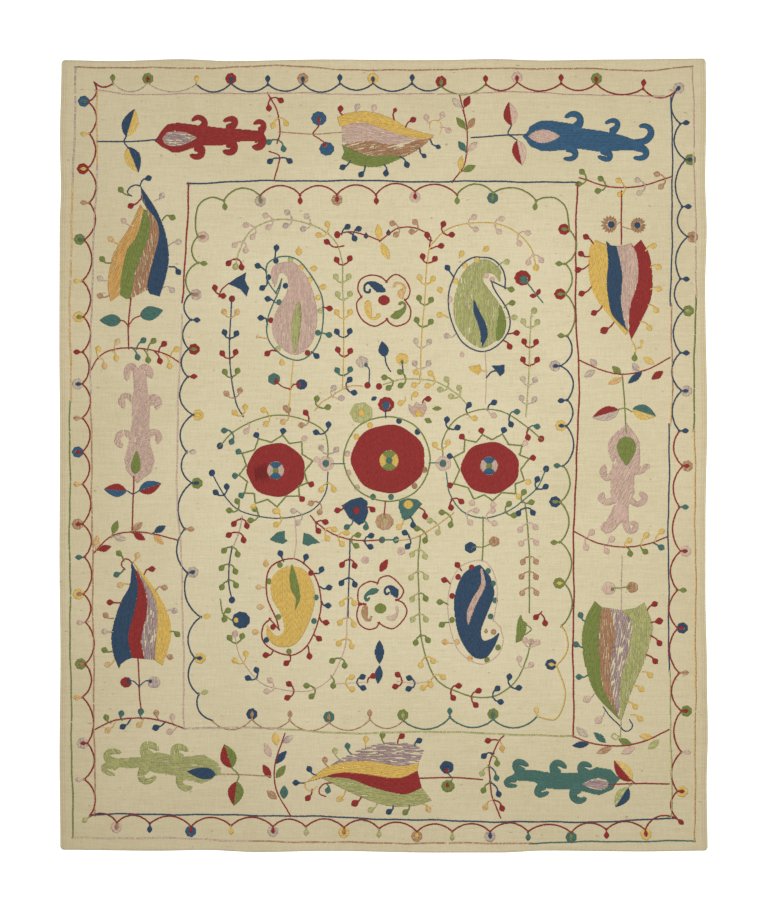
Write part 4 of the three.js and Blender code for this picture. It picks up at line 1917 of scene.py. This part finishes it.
def rosettes() -> list[Motif]:
    """Gives the three red rosettes, their rings and what stands round them."""
    return [
        Medallion((388, 459), (75, 70), (389, 460.5), 19, "yellow", "green", "teal"),
        Stalk(
            "green", "387,417 417,428 430,459 417,490 387,501 357,489 344,459 357,428", 0.85,
            closed=True),
        Medallion((276, 470), (59, 55), (275.6, 470.4), 16.8, "pink", "blue", "green", (262, 473, 8)),
        StarRing(
            (276, 470),
            "282.5,435.5 301.6,442 312.4,461 307,482.7 299,495.7 277,506.4 255.7,503 245,492.6 239.6,475"
            " 242.7,453.6 258.8,439", "navy pink pink red red yellow yellow teal teal teal navy"),
        Medallion((490, 468), (59, 53), (489, 465.8), 17.2, "pink", "blue", "green"),
        StarRing(
            (490, 468),
            "465,440 482.5,435 502.4,434.4 521.5,446 528.4,459 523.8,480.4 515.4,493.4 492.5,500.3"
            " 474,498.7 454,483.4 454,457.4", "red red navy pink red yellow yellow pink pink red navy"),
        Vine(
            "green", "328,458 328,445 324,431 308,421 282,415 256,420 233,432 220,446",
            "mauve navy brown+red gold+brown yellow pink+ teal", 5, 17, 8.5, 55, tip="navy", thread=0.75),
        Vine(
            "navy", "328,473 325,494 310,511 280,518 246,513 228,500 212,473",
            "yellow brown mauve yellow green green navy", 10, 24, 8.5, 45, tip="navy", thread=0.7),
        Vine(
            "green", "443,455 443,440 456,420 480,410 503,412 524,425 541,439",
            "yellow navy navy+yellow navy+pink teal+navy teal+red", 6, 16, 8.5, 50, tip="red",
            thread=0.75),
        Vine(
            "teal", "446,473 450,495 463,512 485,518 508,511 524,500 538,487 546,469",
            "red pink pink green green navy", 28, 21, 9, 42, tip="navy", thread=0.75),
        RoundFlower("pink", "teal", (326, 463.5), 16, 7, lobes=5),
        RoundFlower("pink", "teal", (443, 463.5), 16, 7, lobes=5),
        Stalk("teal", "332,464 344,464", 0.7),
        Stalk("teal", "430,463 438,463", 0.7),
        Stalk("navy", "385.5,409 385.5,417", 0.8),
        RoundFlower("red", "blue", (386, 404.5), 16.5, 8, (0, 1)),
        RoundFlower("light", "yellow", (361.3, 413), 23, 7, lobes=7),
        Patch(
            "pink", "408,404 413,407 416,402 420,405 425,402 427,409 423,417 414,417 409,411", 20, False),
        Dot("yellow", "418.5,413.5", 8, 7, 0.6 * MM),
        Stalk("red", "385,502 384,514", 0.85),
        RoundFlower("brown", "light", (384.3, 521.7), 18.5, 5, (0, -1)),
        Patch(
            "navy", "341.5,505.5 351,499.5 361,497 367,501 368,513 364.5,522.5 359,525.5 349,518", 80,
            False),
        Dot("red", "356.4,510.7", 7, 7, 0.6 * MM),
        Patch(
            "teal", "398.3,507 399,501 408,498 417.5,499.5 422,504 414.5,513 410,518.5 403,521", 80,
            False),
        Dot("yellow", "408.3,504.5", 10, 8.5, 0.6 * MM),
        *berries(
            "red 344,506 337.6,510.3 1.5;red 367,508 372.5,509.5 1.5;teal 353,520 347,527 1.5;"
            "teal 364,521 366,527 1.5;red 420,508 425,516 2;navy 410,517 413,525 1;"
            "yellow 403,520 399,527 1"),
        *[Dot(*row.split(), 6, 6) for row in (
            "yellow 370,425.5;yellow 356.5,437;pink 347.5,454;pink 348.5,473;pink 357,488;navy 399,421;"
            "navy 417.5,432;teal 373,497;teal 391,497;brown 424.5,470;brown 414.5,486").split(";")],
    ]


def field_work() -> list[Motif]:
    """Gives the vines and small flowers that fill the field."""
    return [
        Vine(
            "light", "343,263 337,244 323,230 303,222 280,219 262,224 248,234 239,252 235.5,267",
            "yellow mauve mauve pink pink pink red", 34, 7, tip="light"),
        Vine("yellow", "343,387 344,364 344,330 344,306", "teal red navy yellow", 11, 12),
        Vine("light", "344,306 343,285 343,263", "light light red", 6, 1),
        Stalk("gold", "345,387 354,386 362,386.5", 0.7),
        *berries("red 343,246 327,242 3"),
        Stalk("red", "337,235 350,232 364,235 380,241", 0.8),
        *berries(
            "navy 342,234 347.5,227;navy 354,233 358.5,229;navy 349,233 354.5,238.5;"
            "navy 366,235 366,236 0 5;navy 388.5,232.5 388.5,233 0 5"),
        Vine(
            "red", "430,246 430,236 415,228 399,228 389,234 380,241", "red+ brown brown", 6, 22, 7,
            tip=""),
        Berry("yellow", "380,241 378,224", 7, 1.0),
        Berry("yellow", "381,243 389,260", 7.5, 1.0),
        Dot("red", "337.3,235", 6.6, 7),
        Vine(
            "yellow", "430,247 446,231 469,224 495,224 515,232 530,248 536,268",
            "red pink pink pink pink", 20, 12, tip="yellow"),
        *berries("red 431,249 441,246 0.5"),
        Vine(
            "yellow", "421,374 422,340 425,300 427,267 430,247", "mauve mauve green green yellow red", 6,
            17),
        Vine(
            "light", "466,403 456,393 437,382 420,379 401,379 384,384",
            "light light yellow yellow green green", 10, 8, 8),
        Vine(
            "navy", "243,416 236,402 231,371 230,341 232,299", "yellow brown green red navy gold", 1, 19,
            tip="red"),
        Vine(
            "light", "526,416 529,379 530,348 531,318 534,311", "mauve mauve red red light", 12, 18,
            tip="light"),
        Patch("navy", "228,284 236,278 246,272.5 245,280 249,289 246.5,297 241,290 235,287", 70, False),
        Stalk("red", "228,284 222,289 219,296", 0.75),
        *berries("red 219,294 215,288 1.5;red 220,296 223,296 0"),
        RoundFlower("red", "teal", (522.3, 278), 16.5, 8, (1.2, 1.8)),
        Stalk("teal", "527,283 534,292 542,302", 0.8),
        Berry("red", "537,296 529,295.5", 4.2, 1.0),
        Berry("red", "537,296 540,288.5", 4.2, 1.0),
        Quatrefoil(
            [
                "361.5,297 358,289 360.5,280 370,275.5 380,277 386.6,282",
                "386.6,282 391,277 397,275 405,280 409.5,290 408,297 405,300",
                "405,300 410.5,310 408,321 397,326 390,323 387,319",
                "387,319 382,323 374,326 364,321 358,312 357,303 361.5,297"], ("red", (384, 300.5)),
            [
                (
                    "navy",
                    "384,291,4 379,288.5,9 373,284.5,7 368,283,2.4 364.5,286,2.2 365,291.5,2.2"
                    " 369,292.5,2.4 370,289.5,2"),
                ("gold", "402,298,4 401,293.5,8 404.5,288,3 401,284,2.4 396,283.5,2.6 394,286.5,3"),
                (
                    "green",
                    "392,316.5,4 396,315.5,9 402,311.5,6 405,306.5,2.4 402.5,302.5,2.4 399.5,304,3.4"),
                ("yellow", "367.5,303,6.5 368.5,312,7 371,318,3 375.5,318.5,3 378.5,315.5,5")]),
        Quatrefoil(
            [
                "363,604 358.5,601 358.5,590 363,584.5 370,581.5 377.4,583",
                "377.4,583 380.5,578 388.5,576 396,581 403,590 401,596.5 396.5,600",
                "396.5,600 403.5,604 406.5,612 402,621 394,628 386,627 379,622.7",
                "379,622.7 375.5,627.5 368,629 360,624 357,615 359,606 363,604"],
            ("green", (380.5, 608.5)),
            [
                ("teal", "376.5,590.5,5 372.5,591.5,7 368,593.5,4 365,597,2.8 367,600.5,2.8 369,598,2.2"),
                (
                    "navy",
                    "396.5,596.5,4 394.5,592,9 391,587.5,5 387,587,2.2 384.5,590.5,2.2 386.5,594.5,2.2"
                    " 389,592.5,2"), ("pink", "388,617.5,4 393,618,6 397,613,2.6 396.5,607,3"),
                ("brown", "365,607,5.5 364.5,613,7 366,619,4 370,620,2.4 371,616.5,2.2")]),
        Bend("red", "358.5,604,2.6 366.5,604.3,1"),
        Berry("navy", "385,357 382,341", 10, 0.8),
        Stalk("navy", "384.5,356 386,364 390,371", 0.8),
        RoundFlower("yellow", "green", (402, 359), 13, 3.4, (0, 3), 5),
        Stalk("navy", "402,363 403,372", 0.7),
        RoundFlower("mauve", "teal", (362, 362), 12.5, 4, (4, 3), 5),
        Stalk("navy", "366,366 369,370 369,383", 0.7),
        Dot("red", "367.5,385.5", 6.6, 6.2),
        Dot("red", "379,386.6", 6.6, 6.2),
        Berry("navy", "371,400.5 377,397", 4, 1.0),
        *berries("red 423,402 428,399 1.5"),
        Berry("green", "432,409 442,408.5", 4.2, 1.0),
        Berry("green", "424,419 432,422.5", 5, 1.0),
        *berries("yellow 405,398 401,403 1.5;yellow 412,399 415,394.5 1.5"),
        Vine("gold", "316,410 322,403 330,398 340,391 350,387", "green mauve navy", 4, 3),
        Vine("brown", "289,404 288,410", "", tip="brown"),
        Vine("mauve", "242,517 239,531 233,547", "red red", 2, 16, 9, 52),
        Vine("navy", "232,547 229,565 229,584 232,600", "green green green", 1, 20, 8.8, 54, tip="navy"),
        RoundFlower("navy", "yellow", (241, 620), 18.5, 5, (-5, 0)),
        Stalk("green", "220.5,600 223,613 231,620", 0.75),
        *berries("green 224,615 228,610.5 1;green 224,615 224.5,619 1"),
        Vine("navy", "350,541 349,570 348,600 348,617", "red navy", 18, 39, 8.6, 50),
        Vine(
            "pink",
            "348,596 347,617 346,640 341,658 330,678 314,689 298,691 281,689 264,684 251,672 240,655"
            " 235,634", "yellow yellow yellow green green+ green red pink navy yellow green", 2, 9, 8.6,
            46, tip="pink", thread=0.65),
        Vine(
            "red", "311,516 317,523 331,533 348,539 366,541 382,540", "red yellow yellow green navy", 8,
            18, 8.2, 40, tip="teal"),
        Stalk("teal", "386,540 394,540", 0.9),
        Vine(
            "gold", "453,513 442,521 420,535 408,539 396,540", "green light green navy", 4, 14, 8.4, 58,
            tip="teal"),
        Berry("red", "380,572 388,559", 7, 0.9),
        RoundFlower("pink", "pink", (401, 551), 8.5, 3, lobes=5),
        RoundFlower("pink", "pink", (365, 560), 8, 3, lobes=5),
        Vine(
            "green",
            "420,536 418,565 419,600 420,630 425,655 433,674 443,685 458,692 474,697 492,697 506,690"
            " 518,678 526,660 531,642",
            "light light green+light light green yellow yellow red red navy navy pink pink", 14, 6, 8.8,
            50, tip="pink"),
        Vine(
            "green", "525,504 527,522 529,553 529,580 529,612", "navy pink pink brown brown brown", 4, 24,
            8.4, 55),
        *berries("red 541,612 536,617 0;red 541,614 545,623 1"),
        Patch(
            "green", "520.6,614 522.5,620 526.7,623 525.5,632 521,641 515.5,643 516,632 517.6,620", 90,
            False),
        Stalk("green", "525,624 531,629 525.5,634", 0.7),
        Berry("navy", "379.6,664 379.6,640", 9.2, 1.0),
        Berry("navy", "378,684 379.8,665", 7.6, 1.1),
        Vine("pink", "335,684 350,683 368,682", "yellow navy red+", 11, 0, 8.0, 45, thread=0.5),
        Vine("pink", "430,681 415,683 398,681", "yellow+ navy red", 2, 3, 8.0, 45, thread=0.5),
    ]


# Finishes


@dataclass
class NodeSheet:
    """A material's node tree under construction."""

    material: bpy.types.Material

    def add(self, kind: str, inputs: dict[str | int, object] | None = None,
            **settings: object) -> bpy.types.Node:
        """Adds a node with its settings and links.

        Args:
            kind: The node's type.
            inputs: For each input socket a value, or an output socket to link to it.
            settings: The node's own settings.

        Returns:
            The node.
        """
        node = self.material.node_tree.nodes.new(kind)
        for name, value in settings.items():
            setattr(node, name, value)
        for socket, value in (inputs or {}).items():
            if isinstance(value, bpy.types.NodeSocket):
                self.material.node_tree.links.new(value, node.inputs[socket])
            else:
                node.inputs[socket].default_value = value
        return node


def new_sheet(name: str) -> NodeSheet:
    """Starts a material with an empty tree.

    Args:
        name: The material's name.

    Returns:
        Its node tree under construction.
    """
    material = bpy.data.materials.new(name)
    material.use_nodes = True
    material.node_tree.nodes.clear()
    return NodeSheet(material)


@dataclass(frozen=True)
class PlainWoven:
    """Undyed wool and cotton, hand-spun and plain-woven by hand.

    Thick and thin weft shows as pale and dull streaks across the rug, the warps as a fine upright grain,
    and stray dark fibres as flecks. It is matt, with no gloss.
    """

    name: str = "undyed_plain_weave"
    cream: str = "#DED3B3"
    dull: str = "#C5B891"
    fleck: str = "#8F7F5C"
    # The colour of the painted shade in the grooves between the selvedge ribs.
    valley_shade: str = "#A98F6C"
    # The cloth is darker and yellower towards its edges: the share of its colour that it keeps there.
    edge_tint: tuple[float, float, float, float] = (0.955, 0.925, 0.89, 1.0)
    roughness: float = 0.94
    # The real threads lie about 2 mm apart and are drawn 3.4 mm apart, so that the weave shows.
    thread: float = 3.4 * MM
    slub_length: float = 34.0 * MM
    # The weft also thickens over long stretches, and the whole cloth has paler and duller clouds.
    long_slub: tuple[float, float] = (170.0 * MM, 7.48 * MM)
    cloud: tuple[float, float] = (0.31, 0.31)
    fleck_size: float = 9.0 * MM
    # How much the streaks, the warps, the long streaks, the clouds and the fine grain count for, and the
    # sums at which the cloth is at its palest and at its dullest.
    shares: tuple[float, ...] = (0.3, 0.25, 0.2, 0.25, 0.35)
    palest: float = 0.5
    dullest: float = 0.86
    # Where the fleck noise starts to show, where it is full, and how dark it gets there.
    fleck_range: tuple[float, float, float] = (0.72, 0.79, 0.6)
    # The darkening and yellowing start at this share of the way from the middle to the edge.
    edge_tint_from: float = 0.5

    def streaks(self, sheet: NodeSheet, place: bpy.types.NodeSocket, size: tuple[float, float],
                detail: float) -> bpy.types.NodeSocket:
        """Adds long streaks of thick and thin yarn.

        Args:
            sheet: The tree under construction.
            place: The object coordinates.
            size: A streak's length along X and along Y, in metres.
            detail: How many finer layers the streaks have.

        Returns:
            The yarn's thickness, about 0 to 1.
        """
        spread = sheet.add("ShaderNodeMapping", {"Vector": place, "Scale": (1 / size[0], 1 / size[1], 1.0)})
        return sheet.add("ShaderNodeTexNoise", {
            "Vector": spread.outputs[0], "Scale": 1.0, "Detail": detail, "Roughness": 0.6}).outputs["Fac"]

    def edge_share(self, sheet: NodeSheet, place: bpy.types.NodeSocket) -> bpy.types.NodeSocket:
        """Adds how far towards the edges a point lies, for the darker, yellower tint there.

        Args:
            sheet: The tree under construction.
            place: The object coordinates.

        Returns:
            0 in the middle to 1 at the edges.
        """
        axes = sheet.add("ShaderNodeSeparateXYZ", {0: place})
        shares = []
        for axis, half in ((0, 0.80), (1, 0.98)):
            away = sheet.add("ShaderNodeMath", {0: axes.outputs[axis]}, operation="ABSOLUTE")
            shares.append(sheet.add("ShaderNodeMapRange", {
                "Value": away.outputs[0], "From Min": half * self.edge_tint_from, "From Max": half}))
        return sheet.add("ShaderNodeMath", {
            0: shares[0].outputs[0], 1: shares[1].outputs[0]}, operation="MAXIMUM").outputs[0]

    def make(self) -> bpy.types.Material:
        """Makes the cloth's material.

        Returns:
            The material.
        """
        sheet = new_sheet(self.name)
        place = sheet.add("ShaderNodeTexCoord").outputs["Object"]
        slub = self.streaks(sheet, place, (self.slub_length, self.thread), 3.0)
        warp = self.streaks(sheet, place, (self.thread, self.slub_length), 2.0)
        long_slub = self.streaks(sheet, place, self.long_slub, 2.0)
        cloud = self.streaks(sheet, place, self.cloud, 4.0)
        grain = self.streaks(sheet, place, (self.thread, self.thread), 2.0)
        total: bpy.types.NodeSocket | float = 0.0
        for streak, share in zip((slub, warp, long_slub, cloud, grain), self.shares):
            total = sheet.add("ShaderNodeMath", {
                0: streak, 1: share, 2: total}, operation="MULTIPLY_ADD").outputs[0]
        dulled = sheet.add("ShaderNodeMapRange", {
            "Value": total, "From Min": self.palest, "From Max": self.dullest})
        ground = sheet.add("ShaderNodeMix", {
            0: dulled.outputs[0], 6: linear(self.cream), 7: linear(self.dull)}, data_type="RGBA")
        edge_tinted = sheet.add("ShaderNodeMix", {
            0: self.edge_share(sheet, place), 6: ground.outputs[2], 7: self.edge_tint},
            data_type="RGBA", blend_type="MULTIPLY")
        fleck = self.streaks(sheet, place, (self.fleck_size * 2, self.fleck_size), 1.0)
        start, full, darkness = self.fleck_range
        flecked = sheet.add("ShaderNodeMapRange", {
            "Value": fleck, "From Min": start, "From Max": full, "To Max": darkness})
        speckled = sheet.add("ShaderNodeMix", {
            0: flecked.outputs[0], 6: edge_tinted.outputs[2], 7: linear(self.fleck)}, data_type="RGBA")
        # The grooves between the selvedge ribs are painted darker, as shade.
        ribs = sheet.add("ShaderNodeAttribute", attribute_name="rib_valley_shade")
        colour = sheet.add("ShaderNodeMix", {
            0: ribs.outputs["Fac"], 6: speckled.outputs[2], 7: linear(self.valley_shade)}, data_type="RGBA")
        woven = sheet.add("ShaderNodeMath", {0: slub, 1: warp}, operation="ADD")
        height = sheet.add("ShaderNodeMath", {
            0: grain, 1: 0.5, 2: woven.outputs[0]}, operation="MULTIPLY_ADD")
        bump = sheet.add("ShaderNodeBump", {
            "Height": height.outputs[0], "Strength": 0.8, "Distance": 0.6 * MM})
        shader = sheet.add("ShaderNodeBsdfPrincipled", {
            "Base Color": colour.outputs[2], "Roughness": self.roughness, "Normal": bump.outputs[0],
            "Specular IOR Level": 0.25, "Sheen Weight": 0.15, "Sheen Roughness": 0.6})
        sheet.add("ShaderNodeOutputMaterial", {"Surface": shader.outputs[0]})
        return sheet.material


@dataclass(frozen=True)
class EmbroideryWool:
    """Soft-spun two-ply worsted wool, dyed in small lots and worked double.

    Each length of it takes the dye a little differently, and the twist of its plies gives it a fine
    slanting grain. Where it has worn thin the cloth's cream shows through. It is matt, with a faint halo
    of fibres at grazing angles.
    """

    dye: WoolDye
    bare: str = "#D9CDAA"
    roughness: float = 0.88
    # The plies really turn about every 3 mm and are drawn every 5 mm, so that the twist shows.
    twist_pitch: float = 5.0 * MM

    def make(self) -> bpy.types.Material:
        """Makes the wool's material.

        Returns:
            The material.
        """
        sheet = new_sheet(self.dye.slot)
        thread = sheet.add("ShaderNodeAttribute", attribute_name="thread")
        parts = sheet.add("ShaderNodeSeparateXYZ", {0: thread.outputs["Vector"]})
        place = sheet.add("ShaderNodeTexCoord").outputs["Object"]
        mottle = sheet.add("ShaderNodeTexNoise", {"Vector": place, "Scale": 160.0, "Detail": 2.0})
        mottled = sheet.add("ShaderNodeMath", {
            0: mottle.outputs["Fac"], 1: 0.5 * self.dye.unevenness, 2: 1 - 0.25 * self.dye.unevenness},
            operation="MULTIPLY_ADD")
        shade = sheet.add("ShaderNodeMath", {0: parts.outputs[2], 1: 1.0}, operation="MINIMUM")
        value = sheet.add("ShaderNodeMath", {
            0: shade.outputs[0], 1: self.dye.unevenness, 2: mottled.outputs[0]}, operation="MULTIPLY_ADD")
        dyed = sheet.add("ShaderNodeHueSaturation", {
            "Value": value.outputs[0], "Color": linear(self.dye.colour)})
        worn = sheet.add("ShaderNodeMapRange", {"Value": parts.outputs[2], "From Min": 1.0, "From Max": 3.0})
        colour = sheet.add("ShaderNodeMix", {
            0: worn.outputs[0], 6: dyed.outputs[0], 7: linear(self.bare)}, data_type="RGBA")
        across = sheet.add("ShaderNodeMath", {0: parts.outputs[1], 1: 3.0}, operation="MULTIPLY")
        turns = sheet.add("ShaderNodeMath", {
            0: parts.outputs[0], 1: 2 * math.pi / self.twist_pitch, 2: across.outputs[0]},
            operation="MULTIPLY_ADD")
        plies = sheet.add("ShaderNodeMath", {0: turns.outputs[0]}, operation="SINE")
        bump = sheet.add("ShaderNodeBump", {
            "Height": plies.outputs[0], "Strength": 0.5, "Distance": 0.3 * MM})
        shader = sheet.add("ShaderNodeBsdfPrincipled", {
            "Base Color": colour.outputs[2], "Roughness": self.roughness, "Normal": bump.outputs[0],
            "Specular IOR Level": 0.2, "Sheen Weight": 0.06, "Sheen Roughness": 0.5})
        sheet.add("ShaderNodeOutputMaterial", {"Surface": shader.outputs[0]})
        return sheet.material


# Floor, light and camera


@dataclass
class Studio:
    """A plain pale floor, one large soft light overhead and the camera straight above the rug."""

    floor_size: float = 14.0
    light_height: float = 3.0
    light_size: float = 1.8
    light_watts: float = 85.0
    sky: float = 0.222
    # The lamp hangs a little right of the rug's middle and towards its top edge.
    light_place: tuple[float, float] = (0.24, 0.16)
    lens: float = 85.0
    sensor: float = 36.0

    def lay_floor(self) -> None:
        """Makes the pale floor."""
        ground = bmesh.new()
        bmesh.ops.create_grid(ground, x_segments=1, y_segments=1, size=self.floor_size / 2)
        mesh = bpy.data.meshes.new("floor")
        ground.to_mesh(mesh)
        ground.free()
        floor = bpy.data.objects.new("floor", mesh)
        bpy.context.scene.collection.objects.link(floor)
        sheet = new_sheet("white_paper_floor")
        shader = sheet.add("ShaderNodeBsdfPrincipled", {
            "Base Color": (0.93, 0.93, 0.93, 1.0), "Roughness": 1.0, "Specular IOR Level": 0.0,
            "Emission Color": (1.0, 1.0, 1.0, 1.0), "Emission Strength": 0.5})
        sheet.add("ShaderNodeOutputMaterial", {"Surface": shader.outputs[0]})
        mesh.materials.append(sheet.material)

    def light(self) -> None:
        """Hangs the soft light over the rug's middle and sets an even pale sky."""
        lamp = bpy.data.lights.new("soft_light", "AREA")
        lamp.shape = "SQUARE"
        lamp.size = self.light_size
        lamp.energy = self.light_watts
        hung = bpy.data.objects.new("soft_light", lamp)
        hung.location = (*self.light_place, self.light_height)
        hung.visible_camera = False
        bpy.context.scene.collection.objects.link(hung)
        world = bpy.data.worlds.new("pale_sky")
        world.use_nodes = True
        world.node_tree.nodes["Background"].inputs["Color"].default_value = (1.0, 1.0, 1.0, 1.0)
        world.node_tree.nodes["Background"].inputs["Strength"].default_value = self.sky
        bpy.context.scene.world = world

    def stand_camera(self) -> None:
        """Stands the camera where the photograph was taken from."""
        height = PHOTO_HEIGHT * CHART_STEP * self.lens / self.sensor
        eye = bpy.data.cameras.new("camera")
        eye.lens = self.lens
        eye.sensor_width = self.sensor
        camera = bpy.data.objects.new("camera", eye)
        centre = to_metres(np.array([PHOTO_CENTRE]))[0]
        camera.location = (centre[0], centre[1], height)
        bpy.context.scene.collection.objects.link(camera)
        bpy.context.scene.camera = camera
        bpy.context.scene.view_settings.view_transform = "Standard"


def main() -> None:
    """Builds the rug, its embroidery and the studio in order."""
    logging.basicConfig(level=logging.INFO, format="%(name)s %(message)s")
    studio = Studio()
    studio.stand_camera()
    studio.lay_floor()
    studio.light()
    cloth = KilimCloth()
    ground = cloth.build()
    ground.data.materials.append(PlainWoven().make())
    cloth.declare(ground)
    LOG.info("%s has %d faces", ground.name, len(ground.data.polygons))
    needle = Needle(random.Random(SEED))
    for group in (rules, scallops, plants, fans, sprigs, paisleys, rosettes, field_work):
        for motif in group():
            motif.work(needle)
    wools: dict[Yarn, bpy.types.Material] = {}
    for (yarn, kind), rows in needle.laid.items():
        if yarn not in wools:
            wools[yarn] = EmbroideryWool(yarn.value).make()
        piece = sewn(yarn, kind, rows, cloth)
        piece.data.materials.append(wools[yarn])
        LOG.info("%s has %d stitches and %d faces", piece.name, len(rows), len(piece.data.polygons))


if __name__ == "__main__":
    main()
